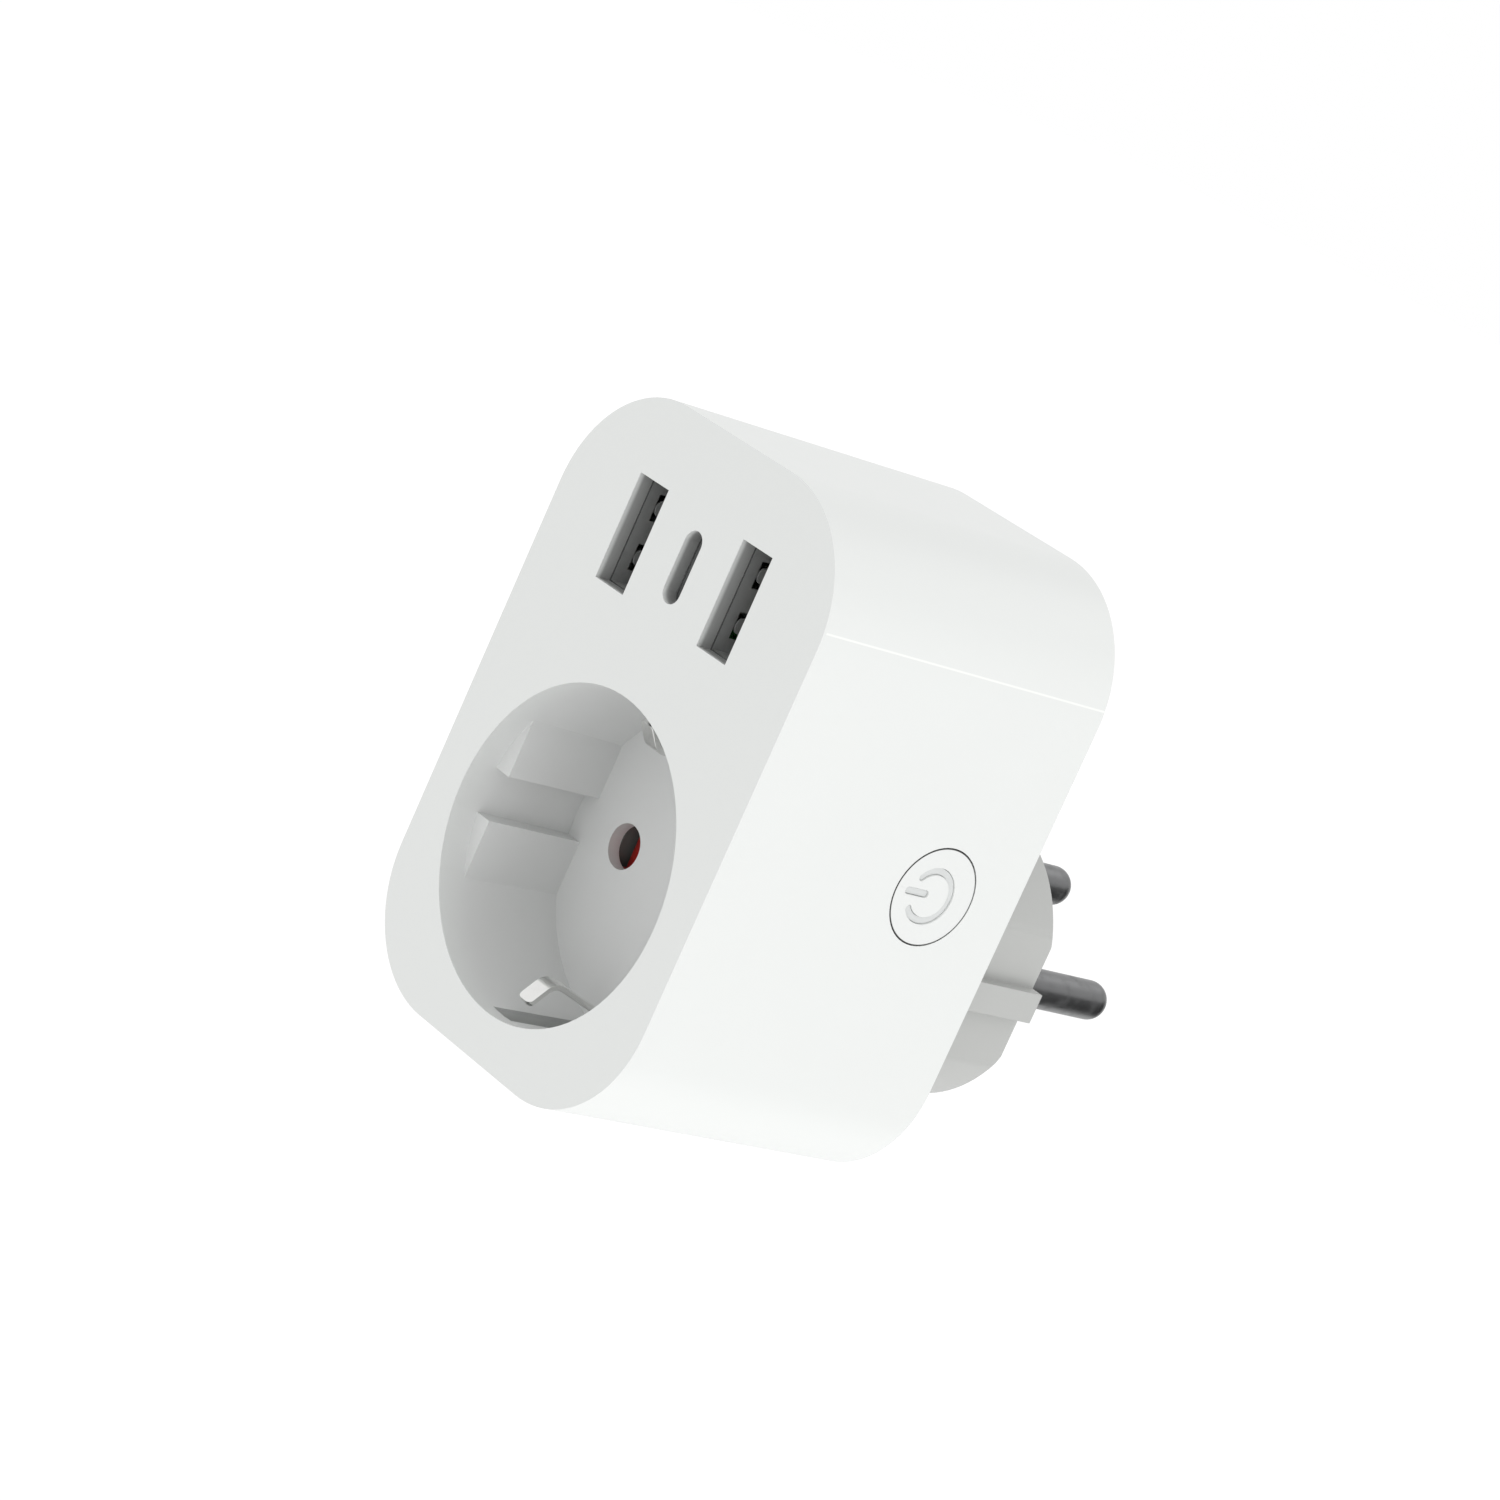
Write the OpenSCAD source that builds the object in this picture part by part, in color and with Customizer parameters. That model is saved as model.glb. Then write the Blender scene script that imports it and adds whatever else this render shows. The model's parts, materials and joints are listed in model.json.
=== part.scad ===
// Smart plug: a wall-plug adapter with a round recessed socket, two USB-A ports,
// one USB-C port, a power button on the right side and a three-pin plug behind.
// Millimetres. +Z is up, the socket faces -Y, the pins point +Y, the button is at +X.
// The origin is the centre of the plug's pin face, on the line of the two mains pins.
// Inside the modules depth y is counted from the front face and z from the socket centre.

/* [Body] */
// width across the body, X
body_w = 49.8; // [46:0.1:62]
// height of the body, Z
body_h = 75.8; // [72:0.1:92]
// depth from front face to rear face, Y
body_d = 44.7; // [43:0.1:56]
// radius of the four outline corners
corner_r = 14.9; // [12.5:0.1:18]
// height of the socket centre above the lower edge
socket_up = 24.97; // [24.5:0.01:28]
// thickness of the side walls
wall = 2; // [1.6:0.1:2.6]
// thickness of the front wall
front_t = 2.1; // [1.6:0.1:2.6]

/* [Socket] */
// radius of the round socket recess
recess_r = 19.5; // [19.2:0.05:20]
// depth of the recess
recess_depth = 17.75; // [16:0.05:18.5]
// thickness of the recess floor
floor_t = 1.75; // [1.5:0.05:2.2]
// how far the guide flats stand in from the wall of the recess
guide_in = 2.75; // [2.3:0.05:3.2]
// depth at which the guide flats start
guide_start = 3.75; // [2:0.05:6]
// half width of the gap between the guide flats
guide_gap = 2.8; // [2.2:0.05:3.4]
// radius of the two pin holes in the recess floor
hole_r = 2.72; // [2.6:0.01:2.9]

/* [Plug and pins] */
// distance between the two mains pins
pin_pitch = 19; // [19:0.1:19.2]
// radius of the pins
pin_r = 2.4; // [2.3:0.05:2.5]
// length of the two mains pins from the plug face
pin_len = 19; // [18:0.1:20]
// height of the earth pin above the line of the mains pins
earth_z = 10.2; // [9.5:0.1:11]
// length of the earth pin from the plug face
earth_len = 15.05; // [14:0.05:16]
// radius of the round plug
plug_r = 18; // [17.6:0.05:18.6]
// length of the plug from the rear face to the pin face
plug_len = 18.05; // [16:0.05:22]
// distance of the side flats of the plug from its centre line
plug_flat_x = 16; // [15.5:0.05:16.4]
// distance of the rib tops on those flats from the centre line
rib_x = 17.87; // [17.2:0.01:18]
// width of the ribs
rib_w = 3.7; // [3:0.1:4.2]

/* [Ports] */
// distance of the three ports below the upper edge
port_down = 15.53; // [12.9:0.01:18.6]
// distance of the USB-A ports from the middle
usb_a_x = 9.94; // [9:0.01:11]
// width of a USB-A opening
usb_a_w = 5.45; // [5.3:0.01:5.8]
// height of a USB-A opening
usb_a_h = 12.81; // [12.7:0.01:13.2]
// width of the USB-C opening
usb_c_w = 2.98; // [2.8:0.01:3.1]
// height of the USB-C opening
usb_c_h = 8.72; // [8.5:0.01:8.85]

/* [Button] */
// distance of the button centre behind the front face
button_y = 31.85; // [29:0.05:34]
// height of the button centre above the socket centre
button_z = 12.4; // [11:0.1:15]
// radius of the round button
button_r = 5.95; // [5.4:0.05:6.4]

/* [Hidden] */
$fn = 72;
total_d = body_d + plug_len;
mid_z = body_h / 2 - socket_up;
guide_x = recess_r - guide_in;
// the recess narrows a little towards its floor
recess_draft = 0.2;
cup_t = 1.8;
cup_back = recess_depth + floor_t;
pcb_t = 1.6;
pcb_y0 = body_d - 5.7;
pcb_y1 = pcb_y0 + pcb_t;
cover_y0 = body_d - 2.2;
side_x = body_w / 2;
in_x = side_x - wall;
in_top = body_h - socket_up - wall;
// screw bosses in the four corners, just inside the rounding
boss_r = 3.4;
cover_boss_r = 3.2;
boss_in = corner_r - (corner_r - wall - cover_boss_r - 0.08) / sqrt(2);
boss_x = side_x - boss_in;
boss_z_low = boss_in - socket_up;
boss_z_top = body_h - socket_up - boss_in;
bosses = [[boss_x, boss_z_low], [-boss_x, boss_z_low], [boss_x, boss_z_top], [-boss_x, boss_z_top]];
cover_screw_r = 1.45;
// posts for the port board
port_z = body_h - socket_up - port_down;
board_y0 = 16.3;
board_t = 1.2;
board_y1 = board_y0 + board_t;
post_r = 2.2;
posts = [[0, port_z + 8.6], [0, port_z - 8.9]];
small_screw_r = 1.1;
header_x = usb_a_x + 1.56;
header_z0 = port_z - 9.6;
header_pitch = 2.54;
radio_x = 1.5 - in_x;
// plug inside
plug_wall = 2;
// the plug's side flats stand clear of the flanges of the pins
pin_flange_r = 3.5;
flat_x = max(plug_flat_x, pin_pitch / 2 + pin_flange_r + plug_wall + 0.4);
plug_floor = 2.5;
flange_t = 1.3;
plug_in_y = total_d - plug_floor;
carrier_y1 = plug_in_y - flange_t;
carrier_y0 = carrier_y1 - 4;
carrier_screws = [[7.5, -10.5], [-7.5, -10.5]];
pin_x = pin_pitch / 2;
pin_neck_r = pin_r - 0.2;
// clearance of the pins and screws in what they are moulded or cut into
tight = 0.03;
// contact carrier behind the recess floor
plate_y0 = cup_back + 3.3;
plate_y1 = plate_y0 + 1.7;
contact_w = 5.2;
contact_room = pin_r + 2.3;
// safety shutter: the window and the left edge come clear of the pins when it has slid
shutter_travel = 4.8;
shutter_h = pin_r + 1.7;
shutter_x0 = pin_r + 0.3 - pin_x - shutter_travel;
shutter_x1 = pin_x + 3.3;
window_x0 = pin_x - pin_r - 0.1 - shutter_travel;
window_x1 = pin_x + pin_r + 0.3 - shutter_travel;
window_h = pin_r + 0.55;
spring_x1 = 6.4;
spring_z = shutter_h + 3.8;
shutter_y0 = cup_back + 0.3;
shutter_y1 = plate_y0 - 0.2;
// earth bow
bow_w = 2.4;
bow_t = 0.7;
leg_z = recess_r - 1.55;
// button
button_gap = 0.09;
button_flange_r = button_r + 0.9;
cap_t = 1.3;
symbol_y = button_y - 0.45;

// ---- helpers ----

module placed() translate([0, -total_d, 0]) children();

// an outline in X and Z pushed along Y
module y_prism(y0, y1) translate([0, y1, 0]) rotate([90, 0, 0]) linear_extrude(y1 - y0) children();

// an outline in Y and Z pushed along X
module x_prism(x0, x1) translate([x0, 0, 0]) rotate([90, 0, 90]) linear_extrude(x1 - x0) children();

module y_cyl(y0, y1, r, x = 0, z = 0)
    translate([x, y0, z]) rotate([-90, 0, 0]) cylinder(h = y1 - y0, r = r);

module x_cyl(x0, x1, r, y = 0, z = 0)
    translate([x0, y, z]) rotate([0, 90, 0]) cylinder(h = x1 - x0, r = r);

module box(x0, x1, y0, y1, z0, z1) translate([x0, y0, z0]) cube([x1 - x0, y1 - y0, z1 - z0]);

module rounded(w, h, r) {
    square([w - 2 * r, h], center = true);
    square([w, h - 2 * r], center = true);
    for (sx = [-1, 1], sz = [-1, 1]) translate([sx * (w / 2 - r), sz * (h / 2 - r)]) circle(r = r);
}

module body_outline(inset)
    translate([0, mid_z]) rounded(body_w - 2 * inset, body_h - 2 * inset, corner_r - inset);

function seg_dir(a, b) = (b - a) / norm(b - a);
function left_of(d) = [-d[1], d[0]];
function joint_normal(p, i) =
    let (n = len(p),
        d0 = i > 0 ? seg_dir(p[i - 1], p[i]) : seg_dir(p[i], p[i + 1]),
        d1 = i < n - 1 ? seg_dir(p[i], p[i + 1]) : d0,
        a = left_of(d0), b = left_of(d1))
    (a + b) / (1 + a * b);

// a strip of thickness t along the points p
module strip(p, t) polygon(concat(
    [for (i = [0:len(p) - 1]) p[i] + joint_normal(p, i) * t / 2],
    [for (i = [len(p) - 1:-1:0]) p[i] - joint_normal(p, i) * t / 2]));

// ---- housing ----

module socket_recess() {
    y_cyl(-1, guide_start, recess_r);
    intersection() {
        rotate([-90, 0, 0]) rotate_extrude() polygon([[0, -1], [recess_r, -1],
            [recess_r, guide_start], [recess_r - recess_draft, recess_depth], [0, recess_depth]]);
        union() {
            box(-guide_x, guide_x, -2, recess_depth + 1, -30, 30);
            box(-30, 30, -2, recess_depth + 1, -guide_gap, guide_gap);
        }
    }
}

// slots that let the earth clips into the recess
module clip_slots() for (s = [-1, 1]) {
    box(-1.85, 1.85, 2.4, recess_depth, s > 0 ? recess_r - 1.5 : -recess_r - cup_t - 0.6,
        s > 0 ? recess_r + cup_t + 0.6 : 1.5 - recess_r);
    box(-1.85, 1.85, recess_depth - 1, cup_back + 1, s > 0 ? recess_r - 3.3 : 0.3 - recess_r,
        s > 0 ? recess_r - 0.3 : 3.3 - recess_r);
}

module front_shell() color([0.93, 0.93, 0.92]) placed() difference() {
    y_prism(0, body_d) body_outline(0);
    difference() {
        y_prism(front_t, body_d + 1) body_outline(wall);
        y_cyl(0, cup_back, recess_r + cup_t);
        for (b = bosses) y_cyl(0, pcb_y0, boss_r, b[0], b[1]);
        for (p = posts) y_cyl(0, board_y0, post_r, p[0], p[1]);
    }
    socket_recess();
    clip_slots();
    for (s = [-1, 1]) y_cyl(recess_depth - 1, cup_back + 1, hole_r, s * pin_x);
    for (b = bosses) y_cyl(pcb_y0 - 9, pcb_y0 + 1, cover_screw_r + tight, b[0], b[1]);
    for (p = posts) y_cyl(board_y0 - 7, board_y0 + 1, small_screw_r + tight, p[0], p[1]);
    for (s = [-1, 1]) box(s * usb_a_x - usb_a_w / 2, s * usb_a_x + usb_a_w / 2, -1, front_t + 1,
        port_z - usb_a_h / 2, port_z + usb_a_h / 2);
    y_prism(-1, front_t + 1) translate([0, port_z]) slot_shape(usb_c_w, usb_c_h);
    x_cyl(side_x - wall - 1, side_x + 1, button_r + button_gap, button_y, button_z);
}

module slot_shape(w, h) {
    square([w, h - w], center = true);
    for (s = [-1, 1]) translate([0, s * (h - w) / 2]) circle(r = w / 2);
}

// the round plug with its side flats, its end edge bevelled
module plug_outside() {
    bevel = 0.5;
    intersection() {
        translate([0, body_d - 1, 0]) rotate([-90, 0, 0]) rotate_extrude() polygon([[0, 0],
            [plug_r, 0], [plug_r, plug_len + 1 - bevel], [plug_r - bevel, plug_len + 1],
            [0, plug_len + 1]]);
        box(-flat_x, flat_x, body_d - 2, total_d + 1, -30, 30);
    }
    box(-rib_x, rib_x, body_d - 1, total_d, -rib_w / 2, rib_w / 2);
}

module plug_inside_shape(inset) intersection() {
    circle(r = plug_r - plug_wall - inset);
    square([2 * (flat_x - plug_wall - inset), 60], center = true);
}

module rear_cover() color([0.80, 0.80, 0.79]) placed() difference() {
    union() {
        y_prism(cover_y0, body_d) body_outline(wall + 0.04);
        for (b = bosses) y_cyl(pcb_y1, body_d - 1, cover_boss_r, b[0], b[1]);
        plug_outside();
    }
    difference() {
        y_prism(cover_y0 - 1, plug_in_y) plug_inside_shape(0);
        for (s = carrier_screws) y_cyl(carrier_y1, total_d, 2.4, s[0], s[1]);
    }
    for (s = carrier_screws)
        y_cyl(carrier_y1 - 1, total_d - 1.2, small_screw_r + tight, s[0], s[1]);
    for (p = [[pin_x, 0], [-pin_x, 0], [0, earth_z]]) {
        y_cyl(plug_in_y - 1, total_d + 1, pin_neck_r + tight, p[0], p[1]);
        y_cyl(total_d - 0.15, total_d + 1, pin_r + tight, p[0], p[1]);
    }
    for (b = bosses) {
        y_cyl(pcb_y1 - 1, body_d + 1, 1.6, b[0], b[1]);
        y_cyl(body_d - 2, body_d + 1, 2.95, b[0], b[1]);
    }
}

module screw(y_tip, y_seat, r, head_r, head_t) difference() {
    union() {
        y_cyl(y_tip + r * 0.7, y_seat + 0.2, r);
        translate([0, y_tip + r * 0.7, 0]) rotate([90, 0, 0]) rotate_extrude()
            polygon([[0, -0.1], [r, -0.1], [r, 0], [r * 0.35, r * 0.7], [0, r * 0.7]]);
        y_cyl(y_seat, y_seat + head_t, head_r);
    }
    box(-0.4, 0.4, y_seat + head_t * 0.45, y_seat + head_t + 1, -head_r * 0.62, head_r * 0.62);
    box(-head_r * 0.62, head_r * 0.62, y_seat + head_t * 0.45, y_seat + head_t + 1, -0.4, 0.4);
}

module cover_screws() color([0.62, 0.63, 0.65]) placed() for (b = bosses)
    translate([b[0], 0, b[1]]) screw(pcb_y0 - 8, body_d - 2, cover_screw_r, 2.7, 1.8);

module small_screws() color([0.62, 0.63, 0.65]) placed() {
    for (p = posts) translate([p[0], 0, p[1]])
        screw(board_y0 - 5.2, board_y1, small_screw_r, 2.1, 1.5);
    for (s = carrier_screws) translate([s[0], carrier_y0, s[1]]) rotate([0, 0, 180])
        screw(-6.4, 0, small_screw_r, 2.1, 1.5);
}

// ---- plug ----

module pin(x, z, len, tail_y) {
    y_cyl(total_d - 0.1, total_d + len - pin_r, pin_r, x, z);
    translate([x, total_d + len - pin_r, z]) sphere(r = pin_r);
    y_cyl(plug_in_y - 0.5, total_d, pin_neck_r, x, z);
    y_cyl(carrier_y1, plug_in_y, pin_flange_r, x, z);
    y_cyl(body_d - 1.5, carrier_y1 + 0.5, 1.7, x, z);
    y_cyl(tail_y, body_d - 1, 0.9, x, z);
}

module live_pin() color([0.55, 0.55, 0.55]) placed() pin(pin_x, 0, pin_len, pcb_y0 + 0.2);

module neutral_pin() color([0.55, 0.55, 0.55]) placed() pin(-pin_x, 0, pin_len, pcb_y0 + 0.2);

module earth_pin() color([0.55, 0.55, 0.55]) placed() pin(0, earth_z, earth_len, plate_y1 + bow_t);

module pin_carrier() color([0.22, 0.22, 0.23]) placed() difference() {
    y_prism(carrier_y0, carrier_y1) plug_inside_shape(0.2);
    for (p = [[pin_x, 0], [-pin_x, 0], [0, earth_z]])
        y_cyl(carrier_y0 - 1, carrier_y1 + 1, 1.73, p[0], p[1]);
    for (s = carrier_screws) y_cyl(carrier_y0 - 1, carrier_y1 + 1, 1.25, s[0], s[1]);
}

// ---- socket ----

module contact_carrier() color([0.25, 0.26, 0.26]) placed() difference() {
    union() {
        y_cyl(plate_y0, plate_y1, recess_r - 0.6);
        // rails above and below the shutter
        for (s = [-1, 1]) box(shutter_x0 - 1, shutter_x1 + shutter_travel, cup_back, plate_y0 + 0.5,
            s > 0 ? shutter_h + 0.06 : -shutter_h - 1.5, s > 0 ? shutter_h + 1.5 : -shutter_h - 0.06);
        // end stop on the left
        box(shutter_x0 - 2.2, shutter_x0 - 0.5, cup_back, plate_y0 + 0.5, -shutter_h - 1.5,
            shutter_h + 1.5);
        // fixed seat and cover of the shutter spring
        box(spring_x1, spring_x1 + 2, cup_back, plate_y0 + 0.5, shutter_h + 1, spring_z + 3.3);
        box(shutter_x0 + 1.2, spring_x1 + 2, cup_back, plate_y0 + 0.5, spring_z + 2.1, spring_z + 3.3);
        for (s = [-1, 1]) box(s * pin_x - contact_w / 2 - 1.6, s * pin_x + contact_w / 2 + 1.6,
            plate_y1 - 0.5, pcb_y0, -contact_room - 1, contact_room + 1);
    }
    for (s = [-1, 1]) {
        y_cyl(plate_y0 - 1, plate_y1 + 1, hole_r + 0.18, s * pin_x);
        box(s * pin_x - contact_w / 2 - 0.6, s * pin_x + contact_w / 2 + 0.6, plate_y1, pcb_y0 + 1,
            -contact_room, contact_room);
        box(-1.6, 1.6, plate_y0 - 1, plate_y1 + 1, s > 0 ? leg_z - 0.6 : -25, s > 0 ? 25 : 0.6 - leg_z);
    }
    // way for the shutter's spring arm
    box(shutter_x0 + 2.1, shutter_x0 + 9.7, cup_back - 1, plate_y0, shutter_h, shutter_h + 2);
}

// one side of a contact, as points in Y and Z: its flared mouth, its jaw and its spring
function jaw_side(s) = [[plate_y1 + 0.8, s * (pin_r + 1.35)], [plate_y1 + 2.6, s * pin_r],
    [plate_y1 + 3.9, s * pin_r], [plate_y1 + 6.5, s * (pin_r + 0.7)], [pcb_y0 - 1.2, s * (pin_r + 1)]];

module socket_contact(x) {
    x_prism(x - contact_w / 2, x + contact_w / 2) strip(concat(jaw_side(1), [for (i = [4:-1:0]) jaw_side(-1)[i]]), 0.6);
    box(x - 0.4, x + 0.4, pcb_y0 - 1.4, pcb_y1 + 0.5, 1.9, 3.1);
}

module live_contact() color([0.78, 0.60, 0.34]) placed() socket_contact(pin_x);

module neutral_contact() color([0.78, 0.60, 0.34]) placed() socket_contact(-pin_x);

// the clip end, its bend and its leg, as points in Y and Z
function bow_side(s) = concat([[4.7, s * (recess_r - 2.05)]],
    [for (k = [0:5]) let (a = 140.8 - k * 13.48)
        [7.84 + 1.9 * cos(a), s * (recess_r - 2.89 - 1.9 * sin(a))]],
    [[recess_depth + 0.9, s * leg_z], [plate_y1 + bow_t / 2, s * leg_z]]);

module earth_bow() color([0.80, 0.80, 0.78]) placed() difference() {
    x_prism(-bow_w / 2, bow_w / 2)
        strip(concat(bow_side(-1), [for (i = [8:-1:0]) bow_side(1)[i]]), bow_t);
    // corners of the clip ends cut back
    for (s = [-1, 1], t = [-1, 1]) translate([t * bow_w / 2, 4.7, s * (recess_r - 2.05)])
        rotate([s * -50.7, 0, 0]) rotate([0, 0, 45]) cube([0.6, 0.6, 3], center = true);
}

// plate that slides to the right when both pins push on its ramps
module shutter() color([0.55, 0.07, 0.06]) placed() difference() {
    union() {
        box(shutter_x0, shutter_x1, shutter_y0, shutter_y1, -shutter_h, shutter_h);
        box(shutter_x0 + 2.4, shutter_x0 + 4, shutter_y0, shutter_y1, shutter_h - 1, spring_z + 1.7);
    }
    box(window_x0, window_x1, shutter_y0 - 1, shutter_y1 + 1, -window_h, window_h);
    for (x = [shutter_x0, window_x1]) ramp(x);
}

// wedge cut from the front of the shutter, 1.47 deep at its left edge
module ramp(x) translate([0, 0, -window_h]) linear_extrude(2 * window_h)
    polygon([[x - 0.01, shutter_y0 - 1], [x - 0.01, shutter_y0 + 1.47],
        [x + 3.4, shutter_y0], [x + 3.4, shutter_y0 - 1]]);

// compression spring between the shutter's arm and its fixed seat
module shutter_spring() color([0.70, 0.71, 0.73]) placed()
    translate([shutter_x0 + 4.05, (shutter_y0 + shutter_y1) / 2, spring_z]) rotate([0, 90, 0])
    linear_extrude(height = spring_x1 - shutter_x0 - 4.1, twist = -360 * 8, slices = 96, $fn = 6)
    polygon([for (a = [0:40:80]) 1.28 * [cos(a), sin(a)], for (a = [80:-40:0]) 0.96 * [cos(a), sin(a)]]);

// ---- button ----

module power_button() color([0.90, 0.90, 0.89]) placed() difference() {
    union() {
        x_cyl(in_x - 0.9, side_x, button_r, button_y, button_z);
        x_cyl(in_x - 1.1, in_x - 0.3, button_flange_r, button_y, button_z);
    }
    // room for the light guide, open at the back
    x_cyl(in_x - 2, side_x - cap_t, button_r - 1.35, button_y, button_z);
    x_prism(side_x - cap_t - 0.7, side_x + 1) power_symbol(0);
}

// open ring with a bar across its gap, the gap towards the front
module power_symbol(inset) {
    r0 = 2.58 + inset;
    r1 = 3.46 - inset;
    rm = (r0 + r1) / 2;
    hw = (r1 - r0) / 2;
    gap = 40;
    translate([symbol_y, button_z]) {
        difference() {
            circle(r = r1);
            circle(r = r0);
            polygon([[0, 0], [-6 * cos(gap), 6 * sin(gap)], [-7, 0], [-6 * cos(gap), -6 * sin(gap)]]);
        }
        for (s = [-1, 1]) translate([-rm * cos(gap), s * rm * sin(gap)]) circle(r = hw);
        translate([-3.53, 0.12 - hw]) square([2.72, 2 * hw]);
        for (x = [-3.53, -0.81]) translate([x, 0.12]) circle(r = hw);
    }
}

module symbol_light_guide() color([0.80, 0.82, 0.82, 0.9]) placed() {
    x_cyl(in_x - 0.9, side_x - cap_t - 0.05, button_r - 1.45, button_y, button_z);
    x_prism(side_x - cap_t - 0.2, side_x - 0.25) power_symbol(0.05);
    x_cyl(in_x - 1.65, in_x - 0.5, 1.5, button_y, button_z);
}

module switch_plunger() color([0.12, 0.12, 0.13]) placed() {
    x_cyl(in_x - 3.3, in_x - 1.7, 1.5, button_y, button_z);
    x_cyl(in_x - 3.9, in_x - 3.3, 2.1, button_y, button_z);
}

module switch_body() color([0.20, 0.20, 0.21]) placed() difference() {
    union() {
        box(in_x - 6.2, in_x - 2.7, button_y - 3.1, button_y + 3.1, button_z - 3.1, button_z + 3.1);
        for (s = [-1, 1], t = [-1, 1]) box(in_x - 7.9, in_x - 5.9, button_y + s * 2.5 - 0.3,
            button_y + s * 2.5 + 0.3, button_z + t * 2.5 - 0.3, button_z + t * 2.5 + 0.3);
    }
    x_cyl(in_x - 5.6, in_x - 3, 2.5, button_y, button_z);
    x_cyl(in_x - 4, in_x - 2, 1.57, button_y, button_z);
}

// thin domed snap disc that pushes the plunger back
module switch_dome() color([0.75, 0.76, 0.78]) placed()
    translate([in_x - 5.6, button_y, button_z]) rotate([0, 90, 0]) rotate_extrude()
    polygon([[0, 1.5], [0.9, 1.4], [1.7, 1.0], [2.35, 0], [2.35, 0.22], [1.75, 1.2], [0.95, 1.58],
        [0, 1.68]]);

module switch_board() color([0.10, 0.34, 0.20]) placed() difference() {
    box(in_x - 7.4, in_x - 6.2, button_y - 5.65, pcb_y0, button_z - 5.5, button_z + 7.5);
    for (s = [-1, 1], t = [-1, 1]) box(in_x - 8, in_x - 6, button_y + s * 2.5 - 0.4,
        button_y + s * 2.5 + 0.4, button_z + t * 2.5 - 0.4, button_z + t * 2.5 + 0.4);
}

module status_led() color([0.90, 0.92, 0.80]) placed()
    box(in_x - 6.2, in_x - 5.2, button_y - 0.8, button_y + 0.8, button_z + 4.2, button_z + 5.8);

// ---- boards ----

module main_board() color([0.09, 0.33, 0.18]) placed() difference() {
    y_prism(pcb_y0, pcb_y1) body_outline(wall + 0.4);
    for (b = bosses) y_cyl(pcb_y0 - 1, pcb_y1 + 1, 1.6, b[0], b[1]);
    for (s = [-1, 1]) {
        y_cyl(pcb_y0 - 1, pcb_y1 + 1, 0.95, s * pin_x, 0);
        box(s * pin_x - 0.45, s * pin_x + 0.45, pcb_y0 - 1, pcb_y1 + 1, 1.8, 3.2);
    }
    y_cyl(pcb_y0 - 1, pcb_y1 + 1, 1, 0, earth_z);
    // room for the button's flange
    x_cyl(in_x - 1.8, side_x, button_flange_r + 0.25, button_y, button_z);
}

module port_board() color([0.09, 0.33, 0.18]) placed() difference() {
    box(-usb_a_x - 3.36, usb_a_x + 3.36, board_y0, board_y1, port_z - 11.6, port_z + 10.8);
    for (p = posts) y_cyl(board_y0 - 1, board_y1 + 1, 1.25, p[0], p[1]);
    for (b = bosses) y_cyl(board_y0 - 1, board_y1 + 1, boss_r + 0.08, b[0], b[1]);
    for (k = [0:4]) y_cyl(board_y0 - 1, board_y1 + 1, 0.45, header_x, header_z0 + header_pitch * k);
}

// pins that join the port board to the main board
module board_header() color([0.14, 0.14, 0.15]) placed() {
    box(header_x - 1.2, header_x + 1.2, pcb_y0 - 2.5, pcb_y0, header_z0 - 1.3,
        header_z0 + 4 * header_pitch + 1.3);
    for (k = [0:4]) y_cyl(board_y0, pcb_y0 - 2, 0.35, header_x, header_z0 + header_pitch * k);
}

// ---- ports ----

// a block round the centre of a port: half width, half height, start and end
module port_block(x, w, h, y0, y1) box(x - w, x + w, y0, y1, port_z - h, port_z + h);

// sheet sleeve behind an opening, with two windows and their catch tabs on each side
module usb_a_shell(x) difference() {
    port_block(x, usb_a_w / 2 + 0.135, usb_a_h / 2 + 0.145, front_t, board_y0);
    port_block(x, usb_a_w / 2 - 0.165, usb_a_h / 2 - 0.155, front_t - 1, board_y0 + 1);
    for (t = [-1, 1]) translate([0, front_t, port_z + t * (usb_a_h / 2 - 3.365)]) difference() {
        box(x - 4, x + 4, 1.7, 7.7, -1.6, 1.6);
        box(x - 5, x + 5, 2.85, 9, -0.95, 0.95);
        x_cyl(x - 5, x + 5, 0.95, 2.85, 0);
    }
}

module usb_a_tongue(x) {
    box(x, x + usb_a_w / 2 - 0.885, front_t + 2.5, 12.6, port_z - usb_a_h / 2 + 0.855,
        port_z + usb_a_h / 2 - 0.855);
    port_block(x, usb_a_w / 2 - 0.225, usb_a_h / 2 - 0.205, 12, board_y0);
}

module usb_a_contacts(x) for (z = [-3.5, -1, 1, 3.5])
    box(x - 0.18, x, front_t + 3.1, 12, port_z + z - 0.5, port_z + z + 0.5);

module usb_a_shell_left() color([0.62, 0.63, 0.64]) placed() usb_a_shell(-usb_a_x);

module usb_a_shell_right() color([0.62, 0.63, 0.64]) placed() usb_a_shell(usb_a_x);

module usb_a_tongue_left() color([0.10, 0.10, 0.11]) placed() usb_a_tongue(-usb_a_x);

module usb_a_tongue_right() color([0.10, 0.10, 0.11]) placed() usb_a_tongue(usb_a_x);

module usb_a_contacts_left() color([0.83, 0.66, 0.33]) placed() usb_a_contacts(-usb_a_x);

module usb_a_contacts_right() color([0.83, 0.66, 0.33]) placed() usb_a_contacts(usb_a_x);

module usb_c_shell() color([0.62, 0.63, 0.64]) placed() difference() {
    y_prism(front_t, board_y0) translate([0, port_z]) slot_shape(usb_c_w + 0.28, usb_c_h + 0.28);
    y_prism(front_t - 1, board_y0 + 1) translate([0, port_z])
        slot_shape(usb_c_w - 0.32, usb_c_h - 0.32);
}

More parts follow.
